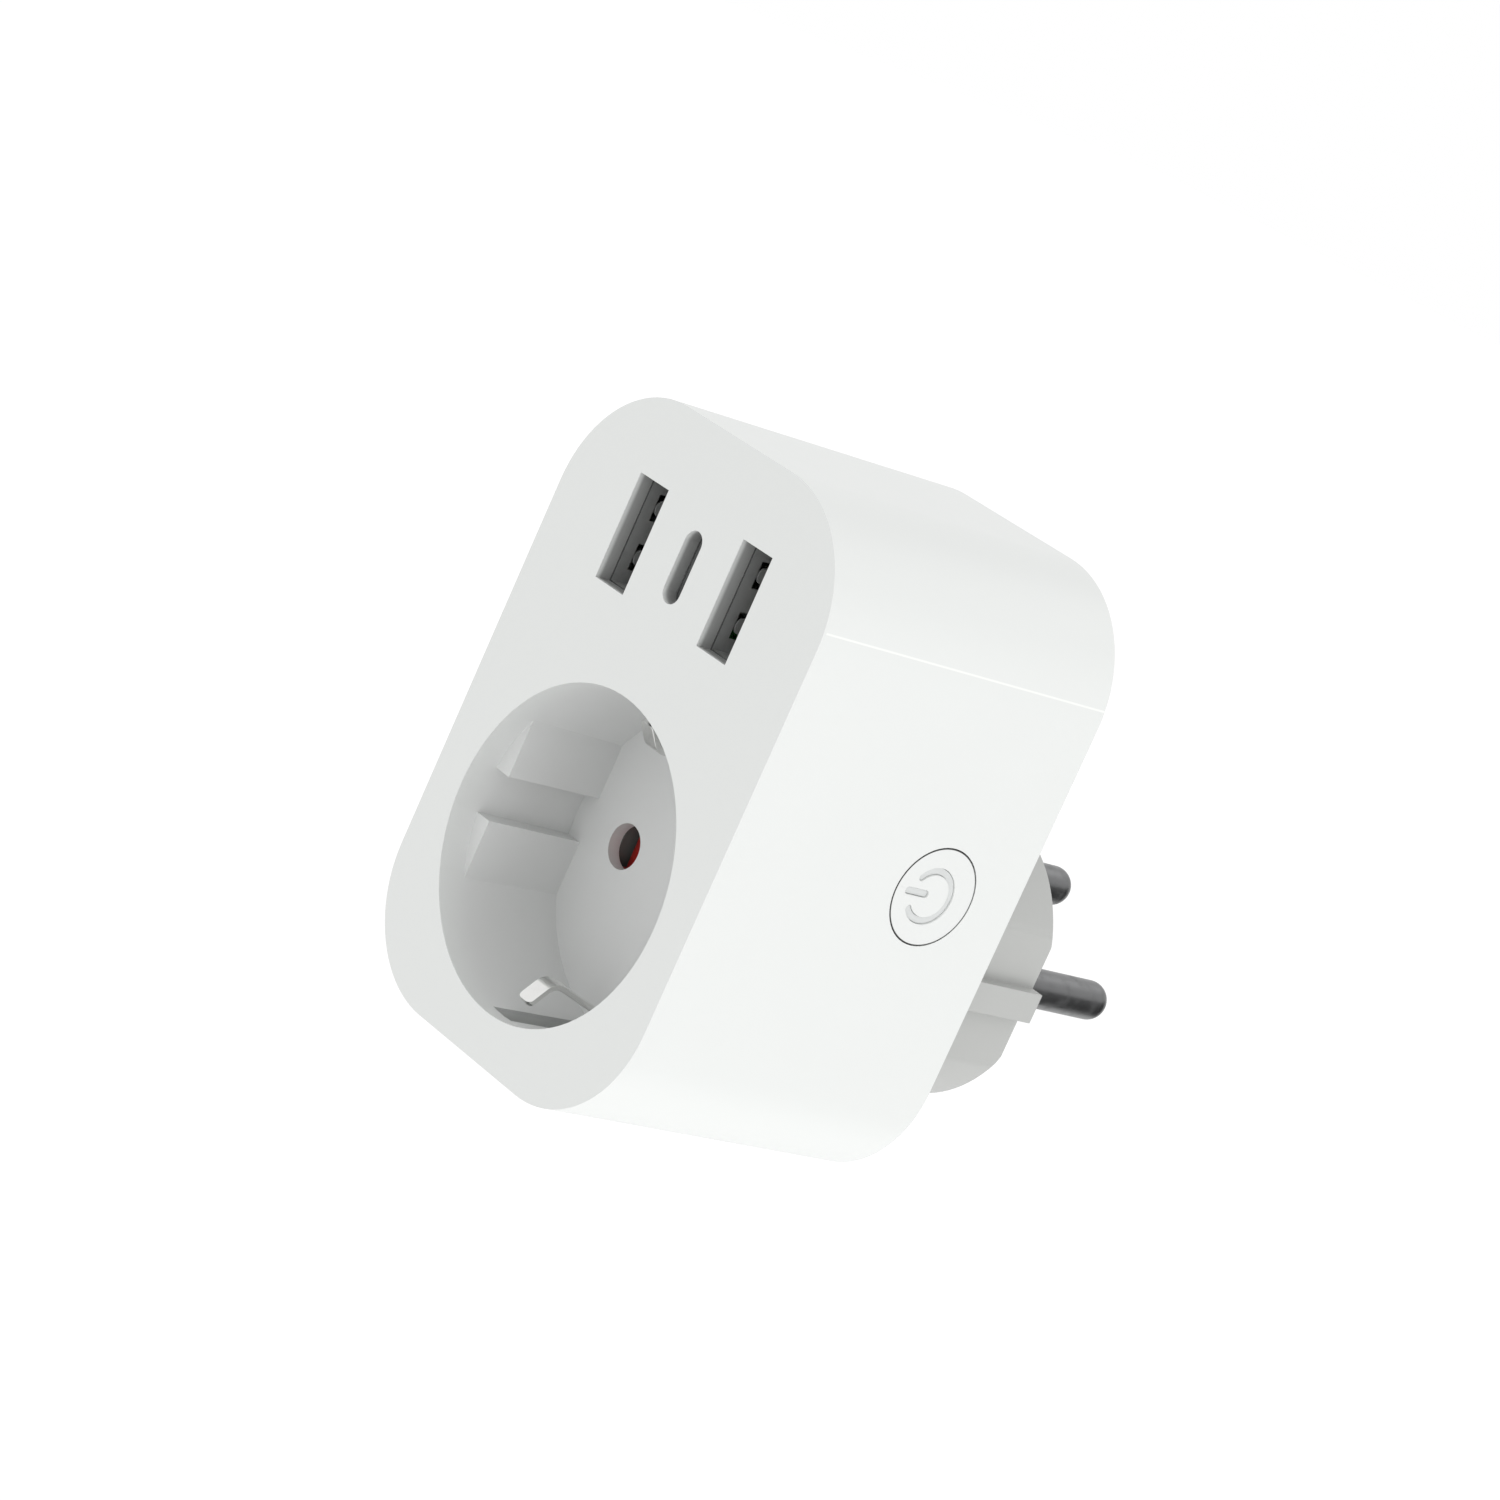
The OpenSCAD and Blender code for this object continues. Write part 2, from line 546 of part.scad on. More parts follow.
module usb_c_tongue() color([0.10, 0.10, 0.11]) placed() {
    port_block(0, 0.35, usb_c_h / 2 - 1.01, front_t + 1.8, 11.6);
    y_prism(11, board_y0) translate([0, port_z]) slot_shape(usb_c_w - 0.38, usb_c_h - 0.38);
}

module usb_c_contacts() color([0.83, 0.66, 0.33]) placed() for (s = [-1, 1], k = [0:5])
    box(s > 0 ? 0.35 : -0.45, s > 0 ? 0.45 : -0.35, front_t + 2.5, 11, port_z - 2.65 + k - 0.2,
        port_z - 2.65 + k + 0.2);

// ---- electronics ----

module relay() color([0.10, 0.22, 0.42]) placed()
    box(-20.6, -10.6, pcb_y0 - 19.4, pcb_y0, 23.8, 38.8);

module transformer_core() color([0.23, 0.23, 0.24]) placed() difference() {
    box(-8.6, 6.4, pcb_y0 - 16.6, pcb_y0 - 1, 26, 37);
    for (s = [-1, 1]) box(s > 0 ? 1.6 : -7, s > 0 ? 4.8 : -3.8, pcb_y0 - 14.6, pcb_y0 - 3, 25, 38);
}

module transformer_winding() color([0.83, 0.68, 0.18]) placed() difference() {
    union() {
        box(-6.9, 4.7, pcb_y0 - 14.5, pcb_y0 - 3.1, 23.8, 39.2);
        box(-7.6, 5.4, pcb_y0 - 0.9, pcb_y0, 24.4, 38.6);
        for (s = [-1, 1]) box(-6.9, 4.7, pcb_y0 - 3.6, pcb_y0 - 0.5, s > 0 ? 37.1 : 24.4,
            s > 0 ? 38.6 : 25.9);
    }
    box(-3.85, 1.65, pcb_y0 - 16, pcb_y0 - 2.9, 25.9, 37.1);
}

module can(x, z, r, len) {
    y_cyl(pcb_y0 - len, pcb_y0 - len + 1.4, r, x, z);
    y_cyl(pcb_y0 - len + 1, pcb_y0 - len + 2, r - 0.25, x, z);
    y_cyl(pcb_y0 - len + 1.8, pcb_y0, r, x, z);
}

module mains_capacitors() color([0.12, 0.14, 0.20]) placed() {
    for (x = [-8.2, 0.6]) can(x, in_top - 5.23, 4, 15);
}

module output_capacitors() color([0.20, 0.34, 0.24]) placed() {
    can(9.7, in_top - 5.33, 3.15, 11);
    can(header_x + 5.1, in_top - 13.03, 3.15, 11);
}

module rectifier() color([0.13, 0.13, 0.14]) placed()
    box(header_x + 2.7, header_x + 7.7, pcb_y0 - 2.6, pcb_y0, 24.4, 30.4);

module fuse() color([0.72, 0.66, 0.52]) placed() {
    x_cyl(-9, 1, 1.7, pcb_y0 - 2.4, -17.5);
    for (x = [-9.8, 0.2]) x_cyl(x, x + 1.6, 1.95, pcb_y0 - 2.4, -17.5);
    for (x = [-9, 1]) y_cyl(pcb_y0 - 2, pcb_y0, 0.4, x, -17.5);
}

module varistor() color([0.10, 0.30, 0.55]) placed() {
    x_cyl(5, 8.6, 5, pcb_y0 - 7, -16.6);
    for (s = [-1, 1]) y_cyl(pcb_y0 - 6, pcb_y0, 0.4, 6.8 + s * 1, -16.6 + s * 2.5);
}

module radio_board() color([0.08, 0.12, 0.30]) placed()
    box(radio_x, radio_x + 1, pcb_y0 - 13, pcb_y0, -8, 10);

module radio_shield() color([0.72, 0.73, 0.75]) placed() difference() {
    box(radio_x + 1, radio_x + 3.4, pcb_y0 - 11.5, pcb_y0 - 1.5, -7, 5);
    box(radio_x + 0.5, radio_x + 3.15, pcb_y0 - 11.2, pcb_y0 - 1.8, -6.7, 4.7);
}

// ---- output ----

front_shell();
rear_cover();
cover_screws();
live_pin();
neutral_pin();
earth_pin();
pin_carrier();
small_screws();
contact_carrier();
live_contact();
neutral_contact();
earth_bow();
shutter();
shutter_spring();
power_button();
symbol_light_guide();
switch_body();
switch_plunger();
switch_dome();
switch_board();
status_led();
main_board();
port_board();
board_header();
usb_a_shell_left();
usb_a_shell_right();
usb_a_tongue_left();
usb_a_tongue_right();
usb_a_contacts_left();
usb_a_contacts_right();
usb_c_shell();
usb_c_tongue();
usb_c_contacts();
relay();
transformer_core();
transformer_winding();
mains_capacitors();
output_capacitors();
rectifier();
fuse();
varistor();
radio_board();
radio_shield();
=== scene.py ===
"""Finished look of a smart plug: softened mouldings, plated metal, ports, clips, boards and its stage.

Metres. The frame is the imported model: +Z up, the socket faces -Y, the pins point +Y and the
button is at +X. The origin is the centre of the plug's pin face.
"""

import json
import math

import bmesh
import bpy
from bpy.props import FloatProperty, FloatVectorProperty, IntProperty, PointerProperty
from mathutils import Matrix, Vector

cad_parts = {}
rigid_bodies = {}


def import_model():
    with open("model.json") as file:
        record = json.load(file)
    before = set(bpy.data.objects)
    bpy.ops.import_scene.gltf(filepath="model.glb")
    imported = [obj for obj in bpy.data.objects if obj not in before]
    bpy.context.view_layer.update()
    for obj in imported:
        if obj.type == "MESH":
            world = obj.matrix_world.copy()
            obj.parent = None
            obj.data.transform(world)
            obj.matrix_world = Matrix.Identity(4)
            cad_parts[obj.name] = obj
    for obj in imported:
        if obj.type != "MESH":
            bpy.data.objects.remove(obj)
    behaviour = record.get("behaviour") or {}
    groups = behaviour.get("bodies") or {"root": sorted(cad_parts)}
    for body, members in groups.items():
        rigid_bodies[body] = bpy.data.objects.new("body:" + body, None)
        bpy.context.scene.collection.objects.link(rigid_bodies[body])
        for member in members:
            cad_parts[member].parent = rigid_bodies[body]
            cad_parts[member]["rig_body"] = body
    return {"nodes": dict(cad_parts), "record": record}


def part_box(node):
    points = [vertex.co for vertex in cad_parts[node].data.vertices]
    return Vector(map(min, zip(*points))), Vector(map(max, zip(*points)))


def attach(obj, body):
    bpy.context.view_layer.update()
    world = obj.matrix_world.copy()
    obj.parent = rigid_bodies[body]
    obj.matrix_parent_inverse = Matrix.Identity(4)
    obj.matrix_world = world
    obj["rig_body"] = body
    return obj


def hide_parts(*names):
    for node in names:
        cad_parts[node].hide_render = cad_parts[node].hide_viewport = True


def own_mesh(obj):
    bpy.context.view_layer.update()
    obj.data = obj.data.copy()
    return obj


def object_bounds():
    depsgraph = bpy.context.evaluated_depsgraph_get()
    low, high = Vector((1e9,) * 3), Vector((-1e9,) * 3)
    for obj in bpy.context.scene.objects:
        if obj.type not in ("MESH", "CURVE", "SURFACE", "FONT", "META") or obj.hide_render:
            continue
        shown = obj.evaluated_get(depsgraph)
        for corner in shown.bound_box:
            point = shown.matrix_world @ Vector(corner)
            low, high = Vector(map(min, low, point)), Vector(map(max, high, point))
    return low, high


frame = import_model()
cad_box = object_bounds()

bl_info = {
    "name": "Smart plug finish",
    "version": (1, 0, 0),
    "blender": (4, 5, 0),
    "location": "3D View > Sidebar > Smart plug",
    "description": "Makes the finished pieces, materials and stage of a smart plug round its CAD frame",
    "category": "Object",
}

MM = 0.001
CLIP_THICK = 0.7 * MM


# ---- sizes and colours -------------------------------------------------------------------


def tint(name, description, default):
    return FloatVectorProperty(
        name=name, description=description, default=default, subtype="COLOR", min=0, max=1
    )


def length(name, description, default):
    return FloatProperty(
        name=name, description=description, default=default, unit="LENGTH", precision=5, min=0
    )


def level(name, description, default):
    return FloatProperty(name=name, description=description, default=default, min=0)


class PlugMouldings(bpy.types.PropertyGroup):
    """Sizes and colours of the moulded pieces"""

    housing_edge: length("Housing edge", "Rounding of the housing's edges", 0.16 * MM)
    cover_edge: length("Cover edge", "Rounding of the rear cover's edges", 0.14 * MM)
    button_edge: length("Button edge", "Rounding of the button's edges", 0.09 * MM)
    small_edge: length("Small edge", "Rounding of the small mouldings inside", 0.06 * MM)
    housing_colour: tint("Housing", "Colour of the white housing", (0.703, 0.717, 0.705))
    cover_colour: tint("Rear cover", "Colour of the grey rear cover", (0.430, 0.436, 0.425))
    button_colour: tint("Button", "Colour of the power button", (0.705, 0.717, 0.707))
    symbol_colour: tint("Symbol", "Colour of the frosted power symbol", (0.600, 0.615, 0.610))
    shutter_colour: tint("Shutter", "Colour of the safety shutter", (0.340, 0.012, 0.008))


class PlugMetals(bpy.types.PropertyGroup):
    """Sizes and colours of the metal pieces"""

    sheet_edge: length("Sheet edge", "Rounding of the edges of sheet metal", 0.05 * MM)
    clip_corner: length("Clip corner", "Rounding of the corners of the earth clips", 0.62 * MM)
    coil_wire: length("Spring wire", "Radius of the shutter spring's wire", 0.15 * MM)
    coil_turns: level("Spring turns", "Turns of the shutter spring", 11)
    thread_turns: IntProperty(name="Thread turns", description="Ridges on a screw's shank", default=9, min=4)
    pin_colour: tint("Pins", "Colour of the plated pins", (0.190, 0.192, 0.194))
    clip_colour: tint("Clips", "Colour of the earth clips", (0.800, 0.800, 0.785))
    port_colour: tint("Ports", "Colour of the sheet sleeves in the ports", (0.420, 0.430, 0.425))


class PlugStage(bpy.types.PropertyGroup):
    """The floor, the lights and the camera"""

    floor_drop: length("Floor", "Distance of the floor below the body", 0.30)
    side_light: level("Side light", "Power of the light on the button side, in watts", 1.38)
    top_light: level("Top light", "Power of the light from above, in watts", 0.34)
    back_light: level("Back light", "Power of the strip that glints on the pins, in watts", 0.12)
    room_light: level("Room light", "Brightness of the room all round", 1.0)


# ---- materials ---------------------------------------------------------------------------


class Wire:
    """One output of a material's nodes, so that shader maths reads as an expression."""

    def __init__(self, finish, node, socket):
        self.finish, self.node, self.socket = finish, node, socket

    def out(self, name):
        return Wire(self.finish, self.node, pick(self.node.outputs, name))

    def maths(self, operation, first, second=0.0):
        return self.finish.add("ShaderNodeMath", {"operation": operation}, {0: first, 1: second})

    def __add__(self, other):
        return self.maths("ADD", self, other)

    def __sub__(self, other):
        return self.maths("SUBTRACT", self, other)

    def __rsub__(self, other):
        return self.maths("SUBTRACT", other, self)

    def __mul__(self, other):
        return self.maths("MULTIPLY", self, other)

    def __pow__(self, other):
        return self.maths("POWER", self, other)

    def __gt__(self, other):
        return self.maths("GREATER_THAN", self, other)

    def __lt__(self, other):
        return self.maths("LESS_THAN", self, other)

    def __abs__(self):
        return self.maths("ABSOLUTE", self)

    __radd__, __rmul__ = __add__, __mul__

    def wave(self):
        return self.maths("SINE", self)

    def span(self, low, high):
        """0 below low, 1 above high and a smooth rise between them."""
        return self.finish.add(
            "ShaderNodeMapRange",
            {"interpolation_type": "SMOOTHSTEP"},
            {"Value": self, "From Min": low, "From Max": high},
        )


def pick(sockets, key):
    """The socket with this place, identifier or name."""
    if isinstance(key, int):
        return sockets[key]
    return next((s for s in sockets if s.identifier == key), None) or sockets[key]


class Finish:
    """One material, built node by node from object coordinates."""

    def __init__(self, name):
        self.material = bpy.data.materials.new(name)
        self.material.use_nodes = True
        self.tree = self.material.node_tree
        self.tree.nodes.clear()
        self.place = self.add("ShaderNodeTexCoord").out("Object")

    def add(self, kind, settings=None, values=None):
        """A node of this type, with its settings made first and then its sockets' values or links."""
        node = self.tree.nodes.new(kind)
        for name, value in (settings or {}).items():
            setattr(node, name, value)
        for key, value in (values or {}).items():
            socket = pick(node.inputs, key)
            if isinstance(value, Wire):
                self.tree.links.new(value.socket, socket)
            else:
                socket.default_value = value
        return Wire(self, node, node.outputs[0] if node.outputs else None)

    def mapped(self, scale=(1, 1, 1), turn=(0, 0, 0)):
        return self.add("ShaderNodeMapping", None, {"Vector": self.place, "Rotation": turn, "Scale": scale})

    def noise(self, size, detail=2.0, place=None, rough=0.5):
        """Soft noise from 0 to 1 whose blotches are this size, in metres."""
        values = {"Vector": place or self.place, "Scale": 1 / size, "Detail": detail, "Roughness": rough}
        return self.add("ShaderNodeTexNoise", None, values).out("Fac")

    def cells(self, size, place=None, feature="F1"):
        values = {"Vector": place or self.place, "Scale": 1 / size}
        return self.add("ShaderNodeTexVoronoi", {"feature": feature}, values).out("Distance")

    def blend(self, factor, first, second):
        values = {"Factor_Float": factor, "A_Color": rgba(first), "B_Color": rgba(second)}
        return self.add("ShaderNodeMix", {"data_type": "RGBA"}, values).out("Result_Color")

    def along(self, axis):
        """Place along X, Y or Z, in metres."""
        return self.add("ShaderNodeSeparateXYZ", None, {"Vector": self.place}).out(axis)

    def away_from(self, first, first_centre, second, second_centre):
        """Distance from a line that crosses these two axes at these places."""
        across, upward = self.along(first) - first_centre, self.along(second) - second_centre
        return (across * across + upward * upward) ** 0.5

    def bump(self, height, depth, under=None):
        values = {"Height": height, "Distance": depth, "Strength": 1.0}
        if under is not None:
            values["Normal"] = under
        return self.add("ShaderNodeBump", None, values)

    def surface(self, **values):
        """Ends the material; the keywords are sockets of the surface shader, with _ for a space."""
        named = {name.replace("_", " "): value for name, value in values.items()}
        shader = self.add("ShaderNodeBsdfPrincipled", None, named)
        self.add("ShaderNodeOutputMaterial", None, {"Surface": shader})
        return self.material


def rgba(colour):
    return colour if isinstance(colour, Wire) else (*colour[:3], 1.0)


def shade(colour, amount):
    return tuple(min(1.0, c * amount) for c in colour[:3])


def painted_highlight_line(f, tone):
    """A painted highlight: a fine bright line on the sides where the top corners' curves begin."""
    low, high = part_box("front_shell")
    drop, core, fade = 12.9 * MM, 0.05 * MM, 0.17 * MM
    side_reach, front_gap = 2 * MM, 0.4 * MM
    strength, bright = 0.5, (0.90, 0.91, 0.88)
    near = 1 - abs(f.along("Z") - (high.z - drop)).span(core, fade)
    side = (abs(f.along("X")) > high.x - side_reach) * (f.along("Y") > low.y + front_gap)
    return f.blend(near * side * strength, tone, bright)


def housing_painted_light(f, tone):
    """Painted light on the housing: a painted highlight line along the sides, painted shade in the socket
    well and on the walls of the port mouths.
    """
    tone = painted_highlight_line(f, tone)
    deep = f.along("Y") - cad_box[0].y
    # painted shade: the socket well's walls and floor are painted greyer than the housing
    past_wall, painted_well_shade = 0.4 * MM, (0.685, 0.693, 0.687)
    well = (recess_radius() + past_wall > f.away_from("X", 0, "Z", 0)) * deep.span(0.2 * MM, 5 * MM)
    tone = f.blend(well, tone, painted_well_shade)
    # painted shade: the walls of the port mouths are painted darker than the housing
    port_low, port_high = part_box("usb_a_shell_left")
    level_z, reach = (port_low.z + port_high.z) / 2, (port_high.z - port_low.z) / 2 + 0.5 * MM
    row_reach, painted_mouth_shade = 16 * MM, (0.36, 0.365, 0.36)
    row = (abs(f.along("Z") - level_z) < reach) * (abs(f.along("X")) < row_reach)
    return f.blend(row * deep.span(0.25 * MM, 0.9 * MM), tone, painted_mouth_shade)


def barrel_shade(f, tone):
    """Shade in the gap round the button: the cap's outer wall is darker than its face."""
    symbol_low, symbol_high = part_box("symbol_light_guide")
    middle = (symbol_low + symbol_high) / 2
    apart = f.away_from("Y", middle.y, "Z", middle.z)
    rim, gap_tone = button_radius(), (0.025, 0.026, 0.025)
    return f.blend(apart.span(rim - 0.17 * MM, rim - 0.07 * MM), tone, gap_tone)


def button_radius():
    """Radius of the button's cap, from the mesh of its node at the outer face."""
    points = [v.co for v in frame["nodes"]["power_button"].data.vertices]
    outermost, face_depth = max(p.x for p in points), 0.1 * MM
    face = [p.y for p in points if p.x > outermost - face_depth]
    return (max(face) - min(face)) / 2


def moulded_plastic(
    name, colour, rough, grain=0.22 * MM, depth=0.006 * MM, flow=0.012, marks=None
):
    """Moulding with a fine spark-eroded grain, faint flow marks and slightly uneven gloss."""
    f = Finish(name)
    fine = f.noise(grain, 3, rough=0.6)
    broad = f.noise(14 * MM, 2)
    drift = f.noise(2.2 * MM, 2, f.mapped(scale=(1, 0.35, 1)))
    tone = f.blend(broad * 0.6 + drift * 0.4, shade(colour, 1 - flow), shade(colour, 1 + flow))
    # marks blends painted shade and painted highlights into the tone
    if marks:
        tone = marks(f, tone)
    relief = f.bump(fine, depth, f.bump(broad, depth * 2))
    return f.surface(
        Base_Color=tone, Roughness=rough + (fine - 0.5) * 0.12 + (broad - 0.5) * 0.08, Normal=relief
    )


def plated_metal(
    name, colour, rough, stretch, wear=0.12, tone_drop=0.8, metal=1.0, relief_depth=0.002 * MM,
    dark_before=None,
):
    """Drawn or rolled metal: fine streaks along the direction that stretch shortens, and dull patches."""
    f = Finish(name)
    streak, scratch_gap, scratch_turn = 0.12 * MM, 0.9 * MM, (0.3, 0.2, 0.4)
    lines = f.noise(streak, 3, f.mapped(scale=stretch), rough=0.65)
    scratch_place = f.mapped(scale=stretch, turn=scratch_turn)
    scratches = f.cells(scratch_gap, scratch_place, "DISTANCE_TO_EDGE").span(0.0, 0.02)
    dull = f.noise(1.6 * MM, 3).span(0.45, 0.75)
    tone = f.blend(lines * 0.35 + dull * 0.5, colour, shade(colour, tone_drop))
    if dark_before is not None:
        # the front rim is darker, at a quarter of the colour
        tone = f.blend(f.along("Y") < dark_before, tone, shade(colour, 0.25))
    relief = f.bump(lines + scratches * 0.3, relief_depth)
    return f.surface(
        Base_Color=tone, Metallic=metal, Roughness=rough + (lines - 0.5) * wear + dull * wear, Normal=relief
    )


def solder_mask(name, colour, copper, pitch=1.9 * MM):
    """Circuit board: copper tracks showing through a glossy mask, over a woven glass base."""
    f = Finish(name)
    blocks = f.add(
        "ShaderNodeTexBrick", {"offset": 0.5},
        {"Vector": f.mapped(turn=(math.pi / 2, 0, 0)), "Scale": 1 / pitch, "Mortar Size": 0.035,
         "Mortar Smooth": 0.2, "Brick Width": 1.7, "Row Height": 0.45},
    ).out("Fac")
    weave = f.cells(0.35 * MM)
    copper_here = (1 - blocks).span(0.4, 0.6)
    tone = f.blend(copper_here, shade(colour, 0.75), copper)
    tone = f.blend(weave * 0.25, tone, shade(colour, 1.3))
    return f.surface(
        Base_Color=tone, Roughness=0.24 + weave * 0.1, Coat_Weight=0.5,
        Normal=f.bump(copper_here + weave * 0.15, 0.02 * MM),
    )


def shrink_sleeve(name, colour, stripe, rough=0.25):
    """Shrunk film on a can: slight waves, a pale polarity stripe and a soft gloss."""
    f = Finish(name)
    waves = f.noise(1.4 * MM, 2, f.mapped(scale=(1, 0.3, 1)))
    side = f.along("X").span(0.2 * MM, 0.5 * MM)
    tone = f.blend(side * 0.15 + waves * 0.2, colour, stripe)
    return f.surface(Base_Color=tone, Roughness=rough + waves * 0.12, Normal=f.bump(waves, 0.05 * MM))


def granular(name, colour, grain=0.12 * MM, rough=0.7, depth=0.02 * MM, spread=0.25):
    """Sintered or dipped surface with visible grains."""
    f = Finish(name)
    grains = f.cells(grain)
    patches = f.noise(1.5 * MM, 3)
    tone = f.blend(grains * 0.5 + patches * 0.5, shade(colour, 1 - spread), shade(colour, 1 + spread))
    relief = f.bump(grains + patches, depth)
    return f.surface(Base_Color=tone, Roughness=rough + (patches - 0.5) * 0.15, Normal=relief)


def wound_tape(name, colour, band=2.6 * MM):
    """Layers of polyester tape: faint edges of the turns and trapped air."""
    f = Finish(name)
    bands = (f.along("Z") * (2 * math.pi / band)).wave().span(0.86, 0.98)
    air = f.noise(0.8 * MM, 3).span(0.5, 0.75)
    tone = f.blend(bands * 0.6 + air * 0.25, colour, shade(colour, 0.62))
    relief = f.bump(bands + air * 0.4, 0.03 * MM)
    return f.surface(Base_Color=tone, Roughness=0.22 + air * 0.2, Normal=relief, Coat_Weight=0.3)


def frosted_resin(name, colour, rough=0.45):
    """Cloudy resin with fine frosting."""
    f = Finish(name)
    cloud = f.noise(0.9 * MM, 3)
    frost = f.noise(0.12 * MM, 2)
    tone = f.blend(cloud, shade(colour, 0.96), shade(colour, 1.03))
    relief = f.bump(frost, 0.004 * MM)
    return f.surface(Base_Color=tone, Roughness=rough + (frost - 0.5) * 0.15, Normal=relief)


def plain_backdrop(name, colour, glow):
    """Pale paper floor that stays even in brightness."""
    f = Finish(name)
    fibre = f.noise(3 * MM, 4)
    tone = f.blend(fibre, shade(colour, 0.995), colour)
    return f.surface(
        Base_Color=tone, Roughness=0.9, Normal=f.bump(fibre, 0.02 * MM), Emission_Color=(1, 1, 1, 1),
        Emission_Strength=glow,
    )


finishes = {}


def make_finishes(mouldings, metals):
    """Every finish by the name of its slot in the record: its maker, its values and its named values."""
    along_y, along_z, fine_relief = (1, 0.04, 1), (1, 1, 0.04), 0.001 * MM
    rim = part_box("usb_a_shell_left")[0].y + 0.08 * MM
    table = {
        "housing_white": (
            moulded_plastic, (mouldings.housing_colour, 0.40), {"flow": 0.006, "marks": housing_painted_light},
        ),
        "housing_grey": (moulded_plastic, (mouldings.cover_colour, 0.52, 0.3 * MM, 0.010 * MM), {}),
        "button_plastic": (
            moulded_plastic, (mouldings.button_colour, 0.36), {"flow": 0.006, "marks": barrel_shade},
        ),
        "shutter_red": (moulded_plastic, (mouldings.shutter_colour, 0.35), {"flow": 0.06}),
        "carrier_black": (moulded_plastic, ((0.130, 0.152, 0.145), 0.55, 0.2 * MM, 0.012 * MM, 0.15), {}),
        "port_black": (moulded_plastic, ((0.012, 0.012, 0.013), 0.50, 0.2 * MM, 0.008 * MM, 0.15), {}),
        "relay_blue": (moulded_plastic, ((0.012, 0.045, 0.150), 0.30, 0.3 * MM, 0.008 * MM, 0.08), {}),
        "light_guide": (frosted_resin, (mouldings.symbol_colour,), {}),
        "led_yellow": (frosted_resin, ((0.70, 0.62, 0.22), 0.3), {}),
        "pin_metal": (
            plated_metal, (metals.pin_colour, 0.36, along_y),
            {"tone_drop": 0.85, "relief_depth": fine_relief},
        ),
        "screw_steel": (plated_metal, ((0.42, 0.43, 0.45), 0.30, (1, 1, 1)), {"wear": 0.18}),
        "spring_steel": (plated_metal, ((0.50, 0.51, 0.52), 0.25, (0.1, 1, 1)), {}),
        "earth_metal": (
            plated_metal, (metals.clip_colour, 0.17, along_y),
            {"wear": 0.05, "tone_drop": 0.96, "relief_depth": fine_relief * 0.4},
        ),
        "contact_bronze": (plated_metal, ((0.62, 0.36, 0.14), 0.30, along_y), {}),
        "port_steel": (
            plated_metal, (metals.port_colour, 0.38, along_z), {"metal": 0.25, "dark_before": rim},
        ),
        "contact_gold": (plated_metal, ((0.80, 0.53, 0.18), 0.22, along_y), {"wear": 0.06}),
        "shield_tin": (plated_metal, ((0.55, 0.56, 0.57), 0.32, along_z), {}),
        "board_green": (solder_mask, ((0.010, 0.095, 0.035), (0.05, 0.22, 0.06)), {}),
        "radio_board_blue": (solder_mask, ((0.008, 0.020, 0.080), (0.05, 0.09, 0.20), 1.1 * MM), {}),
        "capacitor_sleeve": (shrink_sleeve, ((0.010, 0.012, 0.030), (0.35, 0.36, 0.38)), {}),
        "capacitor_green": (shrink_sleeve, ((0.010, 0.060, 0.030), (0.42, 0.40, 0.20)), {}),
        "ferrite": (granular, ((0.030, 0.030, 0.033),), {}),
        "varistor_blue": (granular, ((0.008, 0.050, 0.190), 0.3 * MM, 0.35, 0.015 * MM, 0.12), {}),
        "fuse_ceramic": (granular, ((0.62, 0.53, 0.36), 0.15 * MM, 0.25, 0.004 * MM, 0.08), {}),
        "winding_tape": (wound_tape, ((0.70, 0.47, 0.05),), {}),
    }
    finishes.update((slot, make(slot, *values, **named)) for slot, (make, values, named) in table.items())


# ---- mesh helpers ------------------------------------------------------------------------


def new_object(name, mesh):
    obj = bpy.data.objects.new(name, mesh)
    bpy.context.scene.collection.objects.link(obj)
    return obj


def drop_object(obj):
    mesh = obj.data
    bpy.data.objects.remove(obj)
    if mesh.users == 0:
        bpy.data.meshes.remove(mesh)


def settled(obj):
    """obj with its modifiers turned into a plain mesh."""
    bpy.context.view_layer.update()
    graph = bpy.context.evaluated_depsgraph_get()
    evaluated = obj.evaluated_get(graph)
    plain = bpy.data.meshes.new_from_object(evaluated, preserve_all_data_layers=True, depsgraph=graph)
    raw = obj.data
    obj.modifiers.clear()
    obj.data = plain
    if raw.users == 0:
        bpy.data.meshes.remove(raw)
    return obj


def joined_copy(node):
    """A copy of a CAD node's mesh, its loose triangles joined and its flat faces made whole."""
    mesh = frame["nodes"][node].data.copy()
    shape = bmesh.new()
    shape.from_mesh(mesh)
    bmesh.ops.remove_doubles(shape, verts=shape.verts, dist=0.0005 * MM)
    bmesh.ops.dissolve_limit(shape, angle_limit=math.radians(0.2), verts=shape.verts, edges=shape.edges)
    shape.to_mesh(mesh)
    shape.free()
    return mesh


def node_body(node):
    return frame["nodes"][node]["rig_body"]


def travel(joint):
    """How far a sliding joint goes, in metres."""
    joints = frame["record"]["behaviour"]["joints"]
    return next(j["range_m"][1] for j in joints if j["name"] == joint)


def dressed(obj, slot, body, *nodes):
    """Gives a finished piece its material and its body, and hides the CAD nodes that it stands for."""
    obj.data.materials.clear()
    obj.data.materials.append(finishes[slot])
    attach(obj, body)
    if nodes:
        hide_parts(*nodes)
    return obj


def even_shading(obj, sharper_than):
    """Wide faces keep their own direction, so that only the rounded edges between them shade round."""
    obj.data.set_sharp_from_angle(angle=math.radians(sharper_than))
    weighted = obj.modifiers.new("Even shading", "WEIGHTED_NORMAL")
    weighted.mode = "FACE_AREA"
    weighted.weight = 100


